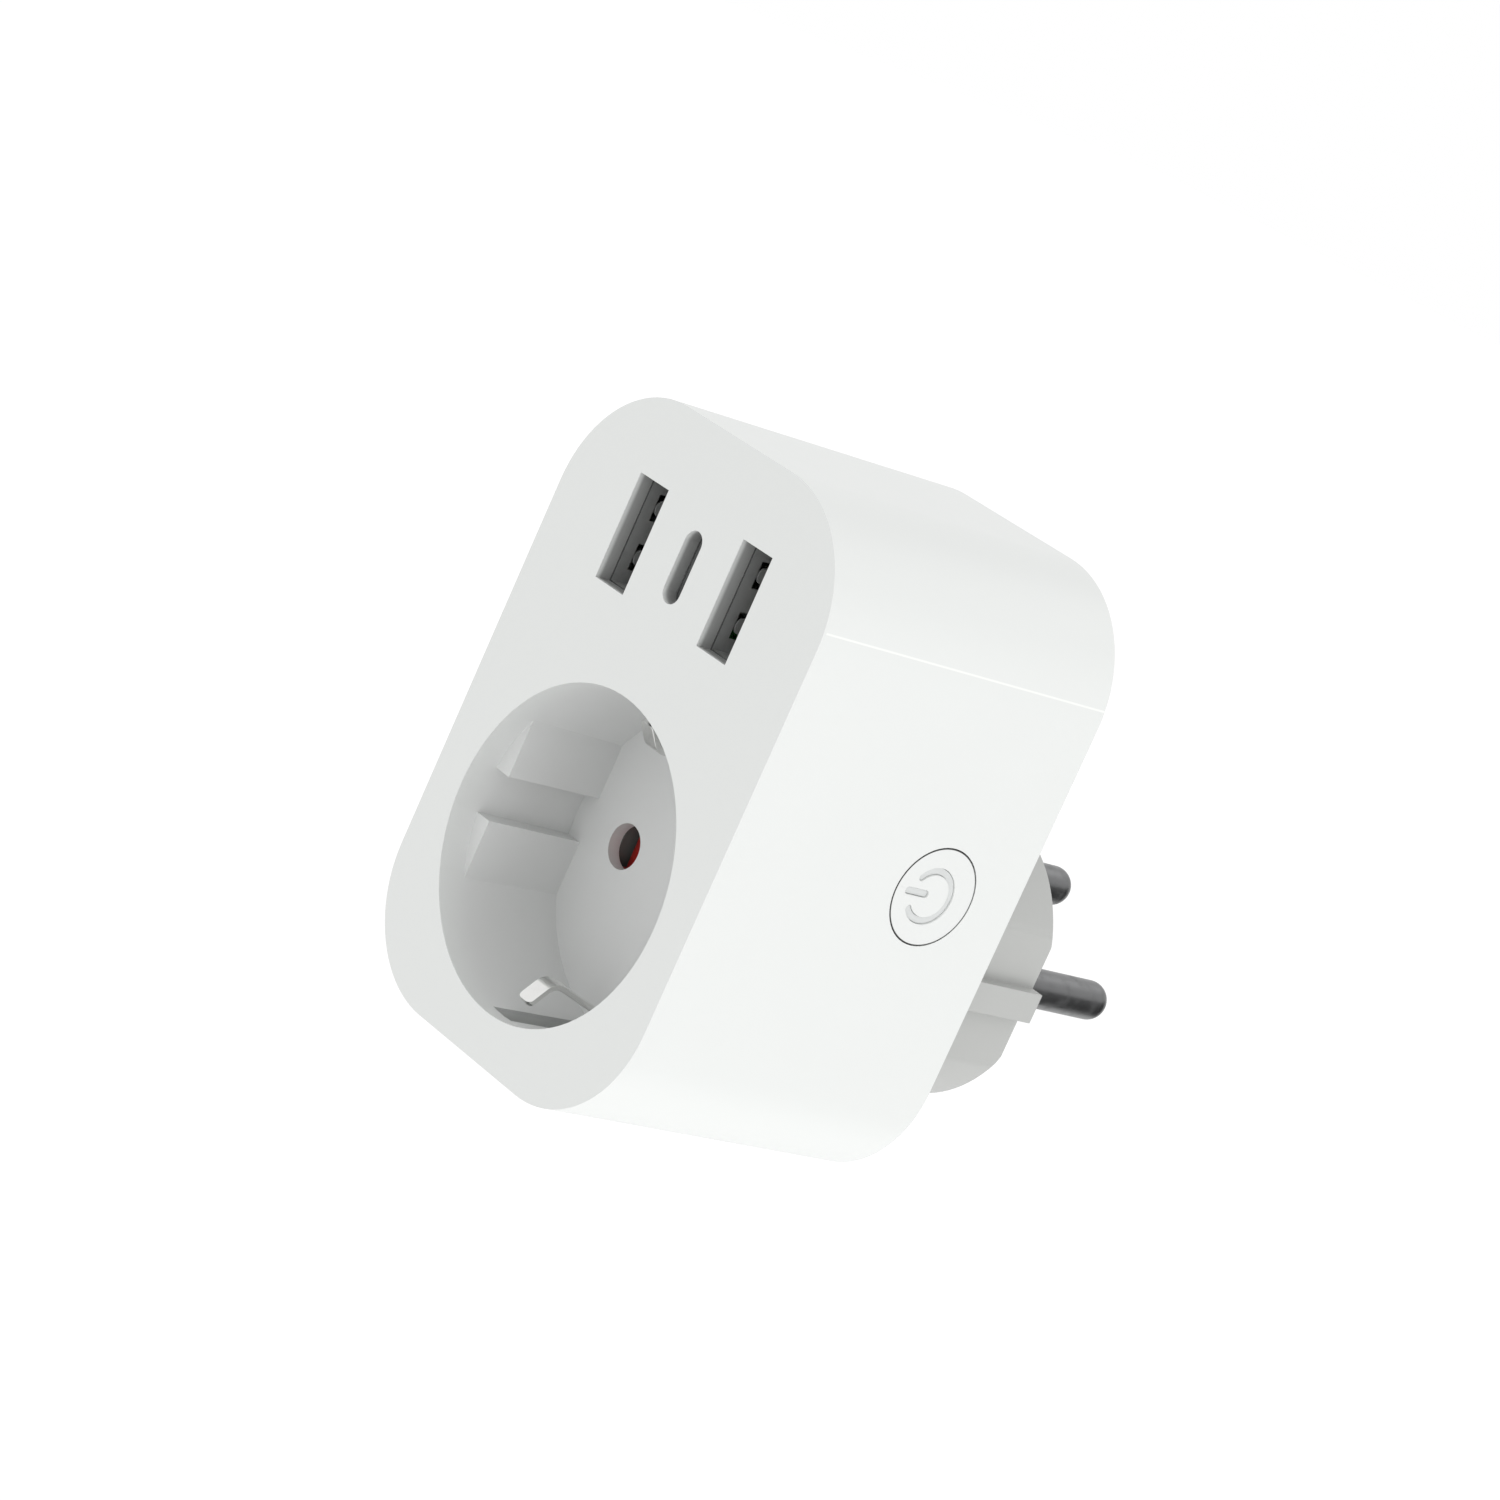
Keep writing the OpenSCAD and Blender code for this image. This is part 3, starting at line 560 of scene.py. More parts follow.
def softened(name, node, slot, width, steps=2, sharper_than=34):
    """A CAD node with its sharp edges rounded, standing for that node."""
    obj = new_object(name, joined_copy(node))
    obj.data.shade_smooth()
    bevel = obj.modifiers.new("Rounded edges", "BEVEL")
    bevel.width = width
    bevel.segments = steps
    bevel.limit_method = "ANGLE"
    bevel.angle_limit = math.radians(sharper_than)
    bevel.miter_outer = "MITER_ARC"
    even_shading(obj, sharper_than)
    settled(obj)
    return dressed(obj, slot, node_body(node), node)


def mesh_from(shape, name):
    """A new mesh that takes over this shape."""
    mesh = bpy.data.meshes.new(name)
    shape.to_mesh(mesh)
    shape.free()
    return mesh


def smoothed(mesh, sharper_than):
    """Smooth shading, except across edges sharper than this many degrees."""
    mesh.shade_smooth()
    mesh.set_sharp_from_angle(angle=math.radians(sharper_than))
    return mesh


def turned_mesh(name, profile, sides=64):
    """A closed shape turned round Y from (distance along Y, radius) pairs that start and end on the axis."""
    shape = bmesh.new()
    rings = []
    for y, radius in profile:
        if radius < 1e-9:
            rings.append([shape.verts.new((0, y, 0))])
            continue
        angles = [2 * math.pi * k / sides for k in range(sides)]
        rings.append([shape.verts.new((radius * math.cos(a), y, radius * math.sin(a))) for a in angles])
    for low, high in zip(rings, rings[1:]):
        for k in range(sides):
            n = (k + 1) % sides
            corners = [low[k % len(low)], low[n % len(low)], high[n % len(high)], high[k % len(high)]]
            shape.faces.new(list(dict.fromkeys(corners)))
    bmesh.ops.recalc_face_normals(shape, faces=shape.faces)
    return smoothed(mesh_from(shape, name), 38)


def cut(obj, cutter):
    """obj less the cutter, which is then gone."""
    knife = obj.modifiers.new("Cut", "BOOLEAN")
    knife.operation, knife.solver, knife.object = "DIFFERENCE", "EXACT", cutter
    settled(obj)
    drop_object(cutter)
    return obj


def block_mesh(name, blocks):
    """Separate boxes, each from its lowest to its highest corner."""
    shape = bmesh.new()
    for low, high in blocks:
        size, middle = Vector(high) - Vector(low), (Vector(high) + Vector(low)) / 2
        place = Matrix.Translation(middle) @ Matrix.Diagonal((*size, 1))
        bmesh.ops.create_cube(shape, size=1.0, matrix=place)
    return mesh_from(shape, name)


# ---- geometry nodes ----------------------------------------------------------------------


def new_tree(title, **kinds):
    """A geometry tree with inputs of these kinds, its start node and its inputs' identifiers."""
    tree = bpy.data.node_groups.new(title, "GeometryNodeTree")
    names = {}
    for name, kind in kinds.items():
        item = tree.interface.new_socket(name=name, in_out="INPUT", socket_type="NodeSocket" + kind)
        names[name] = item.identifier
    return tree, tree.nodes.new("NodeGroupInput"), names


def linked(tree, *wires):
    """Joins nodes; each wire is a node, its output, the next node and its input."""
    for giver, output, taker, entry in wires:
        tree.links.new(giver.outputs[output], taker.inputs[entry])


def tree_ends(tree, start, giver, output):
    """Realizes the instances, sets the material and joins the tree to its output."""
    tree.interface.new_socket(name="Geometry", in_out="OUTPUT", socket_type="NodeSocketGeometry")
    real = tree.nodes.new("GeometryNodeRealizeInstances")
    paint = tree.nodes.new("GeometryNodeSetMaterial")
    end = tree.nodes.new("NodeGroupOutput")
    linked(
        tree, (giver, output, real, "Geometry"), (real, "Geometry", paint, "Geometry"),
        (start, "Finish", paint, "Material"), (paint, "Geometry", end, "Geometry"),
    )


def repeat_tree():
    """A tree that sets one piece, turned alike, on every point of the mesh it is given."""
    tree, start, names = new_tree(
        "Repeat on points", Points="Geometry", Piece="Object", Turn="Vector", Finish="Material"
    )
    source = tree.nodes.new("GeometryNodeObjectInfo")
    place = tree.nodes.new("GeometryNodeInstanceOnPoints")
    linked(
        tree, (start, "Piece", source, "Object"), (start, "Points", place, "Points"),
        (source, "Geometry", place, "Instance"), (start, "Turn", place, "Rotation"),
    )
    tree_ends(tree, start, place, "Instances")
    return tree, names


def coil_tree():
    """A tree that winds round wire into a helix along Z from the origin."""
    tree, start, names = new_tree(
        "Wound wire", Turns="Float", Radius="Float", Length="Float", Wire="Float",
        Finish="Material",
    )
    helix = tree.nodes.new("GeometryNodeCurveSpiral")
    section = tree.nodes.new("GeometryNodeCurvePrimitiveCircle")
    sweep = tree.nodes.new("GeometryNodeCurveToMesh")
    helix.inputs["Resolution"].default_value = 24
    section.inputs["Resolution"].default_value = 10
    sweep.inputs["Fill Caps"].default_value = True
    linked(
        tree, (start, "Turns", helix, "Rotations"), (start, "Radius", helix, "Start Radius"),
        (start, "Radius", helix, "End Radius"), (start, "Length", helix, "Height"),
        (start, "Wire", section, "Radius"), (helix, "Curve", sweep, "Curve"),
        (section, "Curve", sweep, "Profile Curve"),
    )
    tree_ends(tree, start, sweep, "Mesh")
    return tree, names


trees = {}


def grown(name, mesh, tree_name, **inputs):
    """An object whose mesh is what the named tree makes of it, as a plain mesh."""
    if tree_name not in trees:
        trees[tree_name] = {"repeat": repeat_tree, "coil": coil_tree}[tree_name]()
    tree, names = trees[tree_name]
    obj = new_object(name, mesh)
    nodes = obj.modifiers.new("Nodes", "NODES")
    nodes.node_group = tree
    for key, value in inputs.items():
        nodes[names[key]] = value
    return settled(obj)


def repeated(name, piece_mesh, points, slot, turn=(0, 0, 0)):
    """One piece repeated at these points as one mesh."""
    piece = new_object(name + "_one", piece_mesh)
    anchors = bpy.data.meshes.new(name)
    anchors.from_pydata([tuple(p) for p in points], [], [])
    obj = grown(name, anchors, "repeat", Piece=piece, Turn=turn, Finish=finishes[slot])
    drop_object(piece)
    return obj


def fused(target, *others):
    """One object from several, with the first one's name."""
    shape = bmesh.new()
    for obj in (target, *others):
        shape.from_mesh(obj.data)
    shape.to_mesh(target.data)
    shape.free()
    for obj in others:
        drop_object(obj)
    target.data.update()
    return target


# ---- operators ---------------------------------------------------------------------------


class PlugOperator:
    """What every operator of this add-on shares: it needs the frame's nodes."""

    bl_options = {"REGISTER"}

    @staticmethod
    def settings(context):
        scene = context.scene
        return scene.plug_mouldings, scene.plug_metals


class PLUG_OT_housing(PlugOperator, bpy.types.Operator):
    """Make the front shell and the rear cover with moulded edges"""

    bl_idname = "plug.housing"
    bl_label = "Housing"

    def execute(self, context):
        mouldings, _ = self.settings(context)
        softened("front_housing", "front_shell", "housing_white", mouldings.housing_edge, sharper_than=25)
        softened("rear_housing", "rear_cover", "housing_grey", mouldings.cover_edge)
        return {"FINISHED"}


class PLUG_OT_pins(PlugOperator, bpy.types.Operator):
    """Turn the three plug pins and soften the block that holds them"""

    bl_idname = "plug.pins"
    bl_label = "Pins"

    def execute(self, context):
        mouldings, _ = self.settings(context)
        for node in ("live_pin", "neutral_pin", "earth_pin"):
            low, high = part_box(node)
            centre = (low + high) / 2
            shaft, tip = mount_radius("live_pin"), high.y
            neck, flange = shaft - 0.2 * MM, (high.x - low.x) / 2
            floor, neck_end, step = -2.5 * MM, -0.1 * MM, -19.55 * MM
            seat = floor - 1.3 * MM
            stem, tail = 1.7 * MM, 0.9 * MM
            ease = 0.08 * MM
            profile = [(low.y, 0), (low.y, tail - ease), (low.y + ease, tail), (step, tail)]
            profile += [(step, stem - ease), (step + ease, stem), (seat, stem)]
            profile += [(seat, flange - ease), (seat + ease, flange), (floor - ease, flange)]
            profile += [(floor, flange - ease), (floor, neck), (neck_end, neck), (neck_end, shaft)]
            dome = [math.pi / 2 * k / 12 for k in range(12)]
            profile += [(tip - shaft + shaft * math.sin(a), shaft * math.cos(a)) for a in dome]
            profile += [(tip, 0)]
            mesh = turned_mesh(node + "_turned", profile)
            mesh.transform(Matrix.Translation((centre.x, 0, centre.z)))
            dressed(new_object(node + "_turned", mesh), "pin_metal", node_body(node), node)
        softened("pin_block", "pin_carrier", "carrier_black", mouldings.small_edge * 2)
        return {"FINISHED"}


def mount_radius(mount):
    """The radius that the record states for this mount, in metres."""
    return next(m["dims"]["r_mm"] for m in frame["record"]["mounts"] if m["name"] == mount) * MM


def recess_radius():
    return mount_radius("socket_recess")


def clip_path(low, high):
    """The upper clip's centre line in Y and Z: its end, its bend, the knee at the floor and the leg."""
    floor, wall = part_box("contact_carrier")[0].y, recess_radius()
    start = Vector((low.y + 0.27 * MM, wall - 2.05 * MM))
    bend_centre, bend_radius = Vector((start.x + 3.14 * MM, wall - 2.89 * MM)), 1.9 * MM
    bend_start, bend_sweep, steps = 140.8, 67.4, 12
    path = [start]
    for k in range(steps + 1):
        angle = math.radians(bend_start - k * bend_sweep / steps)
        path.append(bend_centre + bend_radius * Vector((math.cos(angle), -math.sin(angle))))
    leg, knee, foot = wall - 1.55 * MM, floor - 0.85 * MM, high.y - CLIP_THICK / 2
    return path + [Vector((knee, leg)), Vector((foot, leg))]


def strip_mesh(name, path, width, thick, ease, tip_round=0.0):
    """A flat strip bent along a path in Y and Z, across X, with eased edges and rounded tips."""
    shape = bmesh.new()
    stations = []
    travelled = [0.0]
    for a, b in zip(path, path[1:]):
        travelled.append(travelled[-1] + (b - a).length)
    whole = travelled[-1]
    extra = [tip_round * s for s in (0.0, 0.08, 0.2, 0.4, 0.65, 1.0)] if tip_round else [0.0]
    marks = sorted({*extra, *travelled, *[whole - e for e in extra]})
    for mark in marks:
        k = max(i for i in range(len(path) - 1) if travelled[i] <= mark + 1e-12)
        share = (mark - travelled[k]) / max(travelled[k + 1] - travelled[k], 1e-12)
        point = path[k].lerp(path[k + 1], share)
        before = path[k] - path[k - 1] if k > 0 and share < 1e-6 else path[k + 1] - path[k]
        along = (before.normalized() + (path[k + 1] - path[k]).normalized()).normalized()
        short = max(0.0, tip_round - min(mark, whole - mark))
        inset = tip_round - math.sqrt(max(0.0, tip_round**2 - short**2))
        stations.append((point, Vector((-along.y, along.x)), width / 2 - inset))
    rings = []
    for point, across, half in stations:
        corners = [(-half + ease, -1, 0), (half - ease, -1, 0), (half, -1, 1), (half, 1, 1)]
        corners += [(half - ease, 1, 0), (-half + ease, 1, 0), (-half, 1, 1), (-half, -1, 1)]
        spots = [(x, point + across * side * (thick / 2 - ease * inner)) for x, side, inner in corners]
        rings.append([shape.verts.new((x, spot.x, spot.y)) for x, spot in spots])
    for a, b in zip(rings, rings[1:]):
        for k in range(8):
            shape.faces.new((a[k], a[(k + 1) % 8], b[(k + 1) % 8], b[k]))
    shape.faces.new(rings[0])
    shape.faces.new(rings[-1])
    bmesh.ops.recalc_face_normals(shape, faces=shape.faces)
    return smoothed(mesh_from(shape, name), 40)


class PLUG_OT_clips(PlugOperator, bpy.types.Operator):
    """Bend the earth bow with its two spring clips"""

    bl_idname = "plug.clips"
    bl_label = "Earth clips"

    def execute(self, context):
        _, metals = self.settings(context)
        low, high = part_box("earth_bow")
        upper = clip_path(low, high)
        lower = [Vector((p.x, -p.y)) for p in reversed(upper)]
        mesh = strip_mesh(
            "earth_bow_bent", upper + lower, high.x - low.x, CLIP_THICK, metals.sheet_edge, metals.clip_corner
        )
        dressed(new_object("earth_bow_bent", mesh), "earth_metal", node_body("earth_bow"), "earth_bow")
        return {"FINISHED"}


class PLUG_OT_contacts(PlugOperator, bpy.types.Operator):
    """Soften the contact carrier and the two mains contacts in it"""

    bl_idname = "plug.contacts"
    bl_label = "Contacts"

    def execute(self, context):
        mouldings, metals = self.settings(context)
        softened("contact_block", "contact_carrier", "carrier_black", mouldings.small_edge * 2)
        for side in ("live", "neutral"):
            softened(f"{side}_jaw", f"{side}_contact", "contact_bronze", metals.sheet_edge)
        return {"FINISHED"}


class PLUG_OT_shutter(PlugOperator, bpy.types.Operator):
    """Make the sliding shutter and wind its spring"""

    bl_idname = "plug.shutter"
    bl_label = "Shutter"

    def execute(self, context):
        mouldings, metals = self.settings(context)
        softened("shutter_slide_plate", "shutter", "shutter_red", mouldings.small_edge)
        low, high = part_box("shutter_spring")
        middle = (low + high) / 2
        wire = metals.coil_wire
        mesh = bpy.data.meshes.new("shutter_coil")
        coil = grown(
            "shutter_coil", mesh, "coil", Turns=metals.coil_turns, Radius=(high.z - low.z) / 2 - wire,
            Length=high.x - low.x - 2 * wire, Wire=wire, Finish=finishes["spring_steel"],
        )
        start = Matrix.Translation((low.x + wire, middle.y, middle.z))
        coil.data.transform(start @ Matrix.Rotation(math.pi / 2, 4, "Y"))
        coil.data.shade_smooth()
        dressed(coil, "spring_steel", node_body("shutter_spring"), "shutter_spring")
        keep = 1 - travel("shutter_slide") / (high.x - low.x)
        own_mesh(coil)
        return {"FINISHED"}


class PLUG_OT_button(PlugOperator, bpy.types.Operator):
    """Make the power button and the frosted symbol that shows through it"""

    bl_idname = "plug.button"
    bl_label = "Button"

    def execute(self, context):
        mouldings, _ = self.settings(context)
        softened("button_cap", "power_button", "button_plastic", mouldings.button_edge)
        softened("button_symbol", "symbol_light_guide", "light_guide", mouldings.small_edge / 2)
        softened("button_plunger", "switch_plunger", "carrier_black", mouldings.small_edge)
        return {"FINISHED"}


class PLUG_OT_switch(PlugOperator, bpy.types.Operator):
    """Make the switch behind the button, its snap disc and the status light"""

    bl_idname = "plug.switch"
    bl_label = "Switch"

    def execute(self, context):
        mouldings, metals = self.settings(context)
        softened("switch_case", "switch_body", "port_black", mouldings.small_edge)
        disc = softened("switch_snap_disc", "switch_dome", "spring_steel", metals.sheet_edge / 2)
        low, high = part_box("switch_dome")
        slack, least = 0.01 * MM, 0.05
        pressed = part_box("switch_plunger")[0].x - travel("button_press") - low.x - slack
        keep = max(least, pressed / (high.x - low.x))
        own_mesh(disc)
        softened("status_light", "status_led", "led_yellow", mouldings.small_edge)
        return {"FINISHED"}


class PLUG_OT_ports(PlugOperator, bpy.types.Operator):
    """Make the sleeves, tongues and gold contacts of the three ports"""

    bl_idname = "plug.ports"
    bl_label = "Ports"

    def execute(self, context):
        mouldings, metals = self.settings(context)
        for side in ("left", "right"):
            softened(f"port_sleeve_{side}", f"usb_a_shell_{side}", "port_steel", metals.sheet_edge / 3)
            softened(f"port_tongue_{side}", f"usb_a_tongue_{side}", "port_black", mouldings.small_edge)
            self.strips(f"usb_a_contacts_{side}")
        softened("port_sleeve_middle", "usb_c_shell", "port_steel", metals.sheet_edge / 3)
        softened("port_tongue_middle", "usb_c_tongue", "port_black", mouldings.small_edge)
        softened("usb_c_strips", "usb_c_contacts", "contact_gold", metals.sheet_edge / 3)
        return {"FINISHED"}

    @staticmethod
    def strips(node):
        """Contact strips with a raised bow near their free ends, repeated along the tongue."""
        low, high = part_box(node)
        width, thick = 1.0 * MM, high.x - low.x
        span, centre = high.z - low.z - width, (low.z + high.z) / 2
        # the outer two carry power and stand further apart than the inner two
        rows = [centre + span * share for share in (-0.5, -1 / 7, 1 / 7, 0.5)]
        free, fixed = low.y + 0.02 * MM, high.y
        bow, height, steps = (fixed - free) * 0.4, thick * 0.45, 8
        path = [Vector((free, 0.0))]
        for k in range(1, steps + 1):
            path.append(Vector((free + bow * k / steps, height * math.sin(math.pi * k / steps))))
        path.append(Vector((fixed, 0.0)))
        mesh = strip_mesh(node + "_strip", path, width, thick * 0.5, 0.03 * MM, 0.25 * MM)
        # the strip is bent in Y and Z, and lies across X: turned so that its bow faces -X
        mesh.transform(Matrix.Rotation(-math.pi / 2, 4, "Y"))
        points = [(high.x - thick * 0.27, 0, z) for z in rows]
        obj = repeated(node + "_strips", mesh, points, "contact_gold")
        obj.data.shade_smooth()
        dressed(obj, "contact_gold", node_body(node), node)


def screw_piece(name, reach, radius, head_radius, head_height, ridges):
    """A screw along Y: its head from 0 to head_height, its shank to -reach, with a cross cut in its head."""
    ease = head_height * 0.18
    tip = -reach
    taper = radius * 0.7
    root, neck = radius * 0.84, radius * 0.9
    profile = [(tip, 0), (tip, radius * 0.35), (tip + taper, radius * 0.86)]
    pitch = (reach - taper - 0.6 * MM) / ridges
    for k in range(ridges):
        base = tip + taper + k * pitch
        profile += [(base + pitch * 0.15, root), (base + pitch * 0.5, radius), (base + pitch * 0.62, radius)]
    profile += [(-0.5 * MM, root), (-0.3 * MM, neck), (0, neck), (0, head_radius - ease)]
    profile += [(ease * 0.4, head_radius), (head_height * 0.55, head_radius)]
    profile += [(head_height * 0.82, head_radius - ease)]
    profile += [(head_height, head_radius * 0.55), (head_height, 0)]
    screw = new_object(name, turned_mesh(name, profile, 40))
    half, reach_out = 0.4 * MM, head_radius * 0.62
    deep, over = head_height * 0.45, head_height + 1 * MM
    for a, b in ((half, reach_out), (reach_out, half)):
        slot_block = block_mesh(name + "_slot", [((-a, deep, -b), (a, over, b))])
        cut(screw, new_object(name + "_slot", slot_block))
    mesh = screw.data.copy()
    drop_object(screw)
    mesh.set_sharp_from_angle(angle=math.radians(38))
    return mesh


class PLUG_OT_screws(PlugOperator, bpy.types.Operator):
    """Turn one screw of each kind and set it wherever it is used"""

    bl_idname = "plug.screws"
    bl_label = "Screws"

    def execute(self, context):
        _, metals = self.settings(context)
        low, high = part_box("cover_screws")
        radius, head, head_height = 1.45 * MM, 2.7 * MM, 1.8 * MM
        seat = high.y - head_height
        xs, zs = (low.x + head, high.x - head), (low.z + head, high.z - head)
        mesh = screw_piece("cover_screw", seat - low.y, radius, head, head_height, metals.thread_turns)
        corners = [(x, seat, z) for x in xs for z in zs]
        screws = repeated("cover_screw_set", mesh, corners, "screw_steel")
        dressed(screws, "screw_steel", "housing", "cover_screws")
        self.small_screws(metals)
        return {"FINISHED"}

    @staticmethod
    def small_screws(metals):
        """Two screws through the port board, and two that hold the pins' block and point the other way."""
        radius, head, head_height, post_pitch = 1.1 * MM, 2.1 * MM, 1.5 * MM, 17.5 * MM
        turns = metals.thread_turns - 3
        low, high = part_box("small_screws")
        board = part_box("port_board")[1].y
        mesh = screw_piece("board_screw", board - low.y, radius, head, head_height, turns)
        spots = [(0, board, z) for z in (high.z - head, high.z - head - post_pitch)]
        posts = repeated("small_screw_set", mesh, spots, "screw_steel")
        block_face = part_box("pin_carrier")[0].y
        mesh = screw_piece("block_screw", high.y - block_face, radius, head, head_height, turns)
        spots = [(x, block_face, low.z + head) for x in (low.x + head, high.x - head)]
        block = repeated("block_screws", mesh, spots, "screw_steel", (0, 0, math.pi))
        dressed(fused(posts, block), "screw_steel", "housing", "small_screws")


class PLUG_OT_boards(PlugOperator, bpy.types.Operator):
    """Make the circuit boards, the header, the radio can and the solder joints"""

    bl_idname = "plug.boards"
    bl_label = "Boards"

    def execute(self, context):
        mouldings, _ = self.settings(context)
        edge = mouldings.small_edge / 2
        for node in ("main_board", "port_board", "switch_board"):
            softened(node + "_etched", node, "board_green", edge)
        softened("radio_board_etched", "radio_board", "radio_board_blue", edge)
        softened("radio_can", "radio_shield", "shield_tin", mouldings.small_edge)
        softened("header_block", "board_header", "port_black", edge)
        self.joints()
        self.chips()
        return {"FINISHED"}

    @staticmethod
    def joints():
        """Solder cones on the back of the main board, under the relay, the header and the transformer."""
        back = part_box("main_board")[1].y
        cone = [(0, 0), (0, 0.62), (0.12, 0.50), (0.42, 0.26), (0.60, 0.2), (0.62, 0)]
        inset, pitch, end_gap, in_a_row = 1.5 * MM, 2.2 * MM, 1.3 * MM, 5
        spots = []
        low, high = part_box("relay")
        for x in (low.x + inset, high.x - inset):
            spots += [(x, back, low.z + share * (high.z - low.z)) for share in (0.1, 0.5, 0.9)]
        low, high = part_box("transformer_core")
        for x in (low.x + inset, high.x - inset):
            spots += [(x, back, low.z + pitch * k) for k in range(in_a_row)]
        low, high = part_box("board_header")
        step = (high.z - low.z - 2 * end_gap) / (in_a_row - 1)
        spots += [((low.x + high.x) / 2, back, low.z + end_gap + step * k) for k in range(in_a_row)]
        mesh = turned_mesh("solder_cone", [(y * MM, radius * MM) for y, radius in cone], 16)
        dressed(repeated("solder_joints", mesh, spots, "shield_tin"), "shield_tin", "housing")

    @staticmethod
    def chips():
        """Small parts on the back of the port board, in two rows beside the ports."""
        low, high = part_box("port_board")
        block = block_mesh("chip", [((-0.8 * MM, 0, -0.4 * MM), (0.8 * MM, 0.5 * MM, 0.4 * MM))])
        columns, first_row, pitch = (-9.5 * MM, -6.5 * MM), low.z + 4 * MM, 1.7 * MM
        spots = [(x, high.y, first_row + pitch * k) for x in columns for k in range(6)]
        obj = repeated("port_board_chips", block, spots, "fuse_ceramic")
        bevel = obj.modifiers.new("Rounded edges", "BEVEL")
        bevel.width, bevel.segments = 0.06 * MM, 2
        settled(obj)
        dressed(obj, "fuse_ceramic", "housing")


class PLUG_OT_components(PlugOperator, bpy.types.Operator):
    """Make the relay, transformer, capacitors, fuse and the other parts on the boards"""

    bl_idname = "plug.components"
    bl_label = "Components"

    plain = (
        ("relay_case", "relay", "relay_blue", 4),
        ("transformer_ferrite", "transformer_core", "ferrite", 3),
        ("transformer_coil", "transformer_winding", "winding_tape", 4),
        ("mains_cans", "mains_capacitors", "capacitor_sleeve", 5),
        ("output_cans", "output_capacitors", "capacitor_green", 5),
        ("bridge_rectifier", "rectifier", "port_black", 2),
        ("fuse_tube", "fuse", "fuse_ceramic", 2),
        ("varistor_disc", "varistor", "varistor_blue", 8),
    )

    def execute(self, context):
        mouldings, _ = self.settings(context)
        for name, node, slot, roundness in self.plain:
            softened(name, node, slot, mouldings.small_edge * roundness, steps=3)
        return {"FINISHED"}


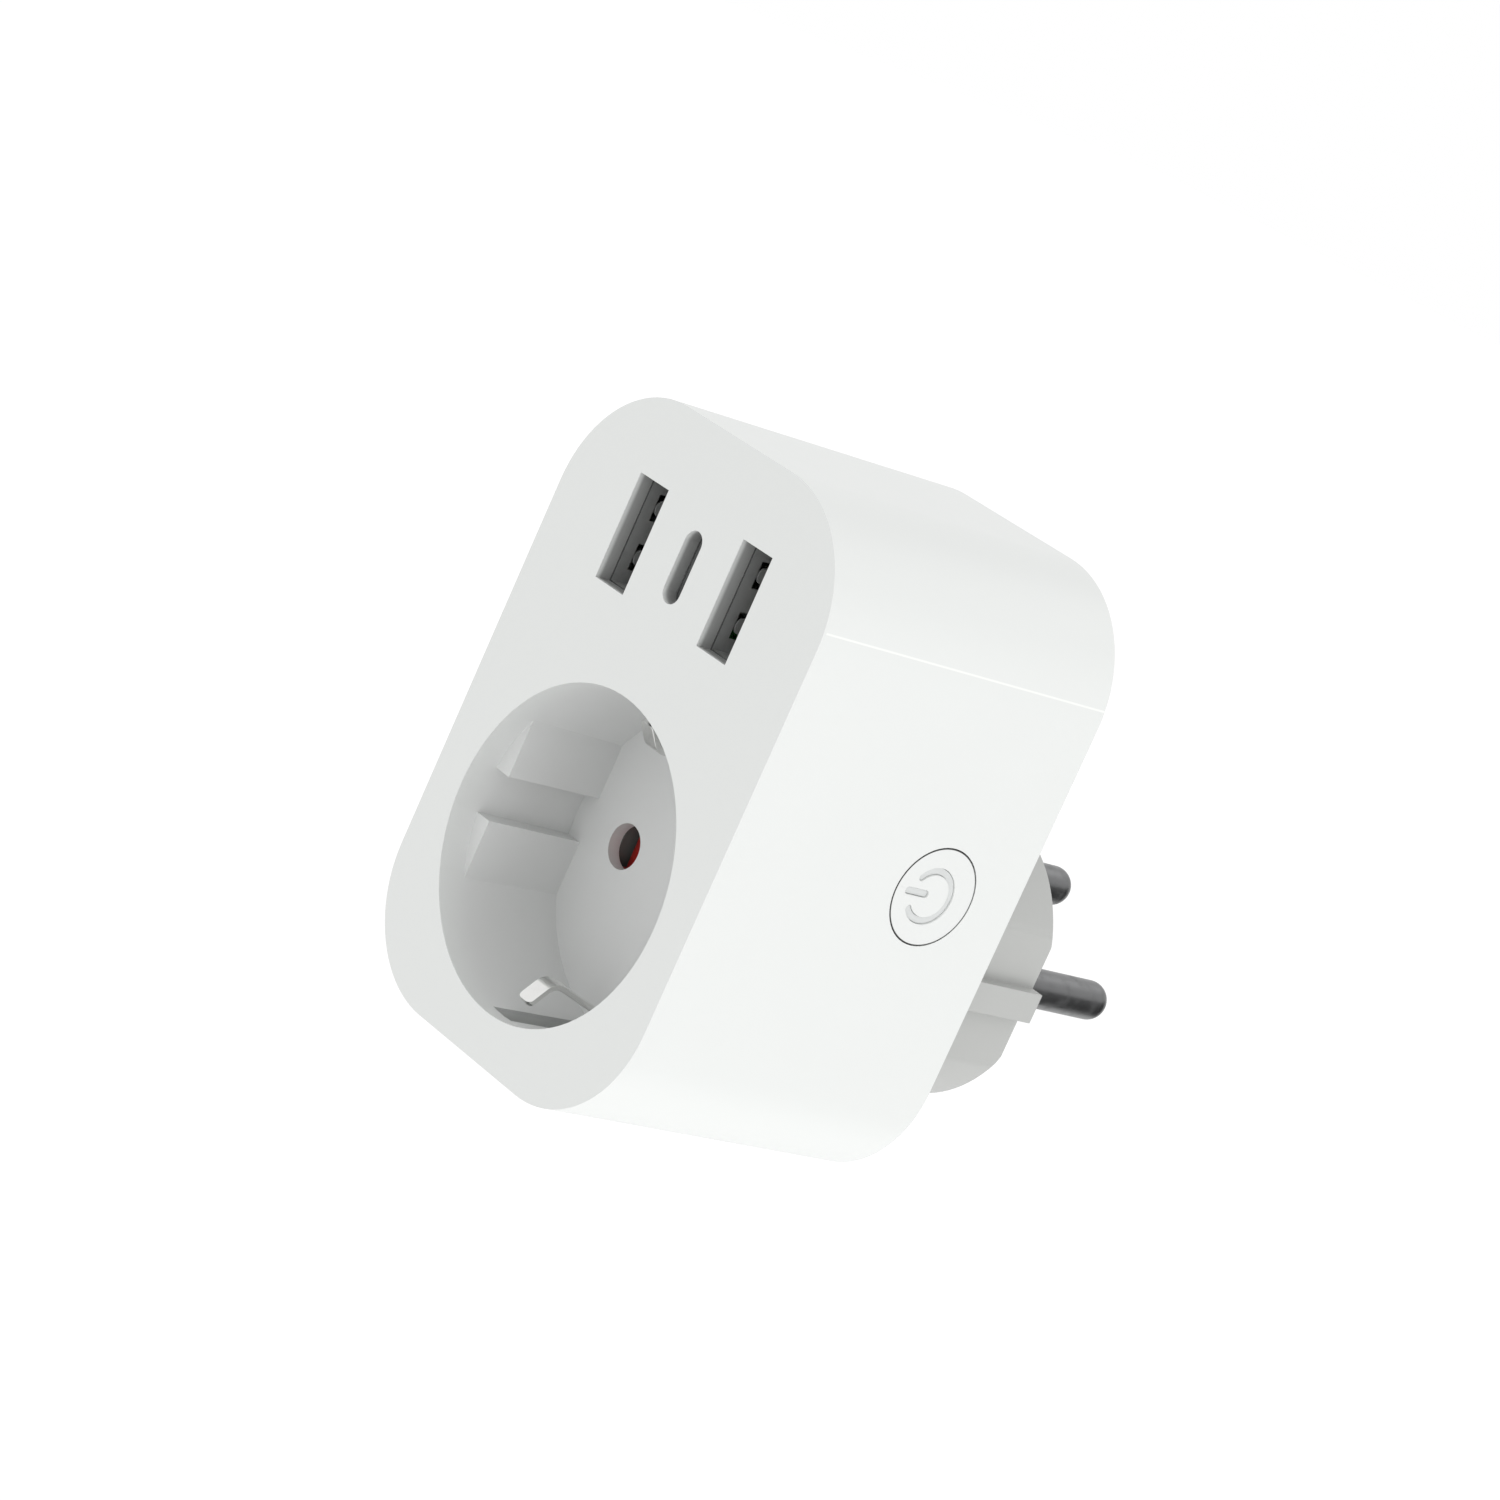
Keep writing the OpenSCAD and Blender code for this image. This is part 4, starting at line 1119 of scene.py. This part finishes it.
class PLUG_OT_stage(PlugOperator, bpy.types.Operator):
    """Lay the pale floor and set the soft lights and the camera"""

    bl_idname = "plug.stage"
    bl_label = "Stage"

    def execute(self, context):
        stage = context.scene.plug_stage
        low, high = cad_box
        middle = (low + high) / 2
        self.floor(low.z - stage.floor_drop, middle)
        self.lights(stage, middle)
        self.reflected_card(Vector((0, 0.01, 0)))
        self.room(stage)
        self.camera(context)
        context.scene.view_settings.view_transform = "Standard"
        return {"FINISHED"}

    @staticmethod
    def floor(height, middle):
        shape = bmesh.new()
        bmesh.ops.create_grid(shape, x_segments=8, y_segments=8, size=6.0)
        mesh = mesh_from(shape, "floor")
        mesh.transform(Matrix.Translation((middle.x, middle.y, height)))
        mesh.materials.append(plain_backdrop("pale_floor", (0.93, 0.93, 0.93), 0.12))
        new_object("floor", mesh)

    @staticmethod
    def lights(stage, middle):
        for name, power, size, away in (
            ("side_softbox", stage.side_light, (0.5, 0.5), (0.58, 0.00, -0.22)),
            ("top_softbox", stage.top_light, (0.5, 0.5), (-0.30, 0.12, 0.52)),
            ("back_strip", stage.back_light, (0.34, 0.04), (0.05, 0.42, 0.40)),
        ):
            light = bpy.data.lights.new(name, "AREA")
            light.energy = power
            light.shape, light.size, light.size_y = "RECTANGLE", *size
            lamp = bpy.data.objects.new(name, light)
            bpy.context.scene.collection.objects.link(lamp)
            lamp.location = middle + Vector(away)
            lamp.rotation_euler = (-Vector(away)).to_track_quat("-Z", "Y").to_euler()
            lamp.visible_camera = False

    @staticmethod
    def reflected_card(middle):
        """A black card behind and below that only reflections show, so that bright metal has dark sides."""
        shape = bmesh.new()
        bmesh.ops.create_grid(shape, x_segments=2, y_segments=2, size=0.17)
        mesh = mesh_from(shape, "reflected_card")
        away = Vector((0.17, 0.27, -0.10))
        turn = away.to_track_quat("Z", "Y").to_matrix().to_4x4()
        mesh.transform(Matrix.Translation(middle + away) @ turn)
        black = Finish("card_black").surface(Base_Color=(0.01, 0.01, 0.01, 1), Roughness=1.0)
        mesh.materials.append(black)
        card = new_object("reflected_card", mesh)
        for ray in ("camera", "diffuse", "transmission", "volume_scatter", "shadow"):
            setattr(card, "visible_" + ray, False)

    @staticmethod
    def room(stage):
        world = bpy.data.worlds.new("pale_room")
        bpy.context.scene.world = world
        world.use_nodes = True
        tree = world.node_tree
        tree.nodes.clear()
        air = tree.nodes.new("ShaderNodeBackground")
        air.inputs["Color"].default_value = (1, 1, 1, 1)
        air.inputs["Strength"].default_value = stage.room_light
        end = tree.nodes.new("ShaderNodeOutputWorld")
        tree.links.new(air.outputs[0], end.inputs["Surface"])

    @staticmethod
    def camera(context):
        data = bpy.data.cameras.new("camera")
        data.sensor_width, data.lens = 36.0, 122.987
        data.clip_start, data.clip_end = 0.01, 20.0
        view = bpy.data.objects.new("camera", data)
        context.scene.collection.objects.link(view)
        right = Vector((0.5731076, 0.7135363, 0.4030057))
        up = Vector((-0.4032369, -0.1825777, 0.8966969))
        back = Vector((0.7134057, -0.6764106, 0.1830874))
        turn = Matrix((right, up, back)).transposed().to_4x4()
        view.matrix_world = Matrix.Translation((0.4130447, -0.4337528, 0.1231844)) @ turn
        context.scene.camera = view


class PLUG_PT_panel(bpy.types.Panel):
    """Lists the makers of every group of pieces"""

    bl_idname = "PLUG_PT_panel"
    bl_label = "Smart plug"
    bl_space_type = "VIEW_3D"
    bl_region_type = "UI"
    bl_category = "Smart plug"

    def draw(self, context):
        for group in (context.scene.plug_mouldings, context.scene.plug_metals, context.scene.plug_stage):
            box = self.layout.box()
            for name in group.__annotations__:
                box.prop(group, name)
        for maker in MAKERS:
            self.layout.operator(maker.bl_idname)


GROUPS = {"plug_mouldings": PlugMouldings, "plug_metals": PlugMetals, "plug_stage": PlugStage}
MAKERS = (
    PLUG_OT_stage,
    PLUG_OT_housing,
    PLUG_OT_pins,
    PLUG_OT_clips,
    PLUG_OT_contacts,
    PLUG_OT_shutter,
    PLUG_OT_button,
    PLUG_OT_switch,
    PLUG_OT_ports,
    PLUG_OT_screws,
    PLUG_OT_boards,
    PLUG_OT_components,
)


def register():
    for group in GROUPS.values():
        bpy.utils.register_class(group)
    for name, group in GROUPS.items():
        setattr(bpy.types.Scene, name, PointerProperty(type=group))
    for maker in (*MAKERS, PLUG_PT_panel):
        bpy.utils.register_class(maker)


def unregister():
    for maker in reversed((*MAKERS, PLUG_PT_panel)):
        bpy.utils.unregister_class(maker)
    for name, group in GROUPS.items():
        delattr(bpy.types.Scene, name)
        bpy.utils.unregister_class(group)


def main():
    register()
    scene = bpy.context.scene
    make_finishes(scene.plug_mouldings, scene.plug_metals)
    for maker in MAKERS:
        group, name = maker.bl_idname.split(".")
        getattr(getattr(bpy.ops, group), name)()


if __name__ == "__main__":
    main()
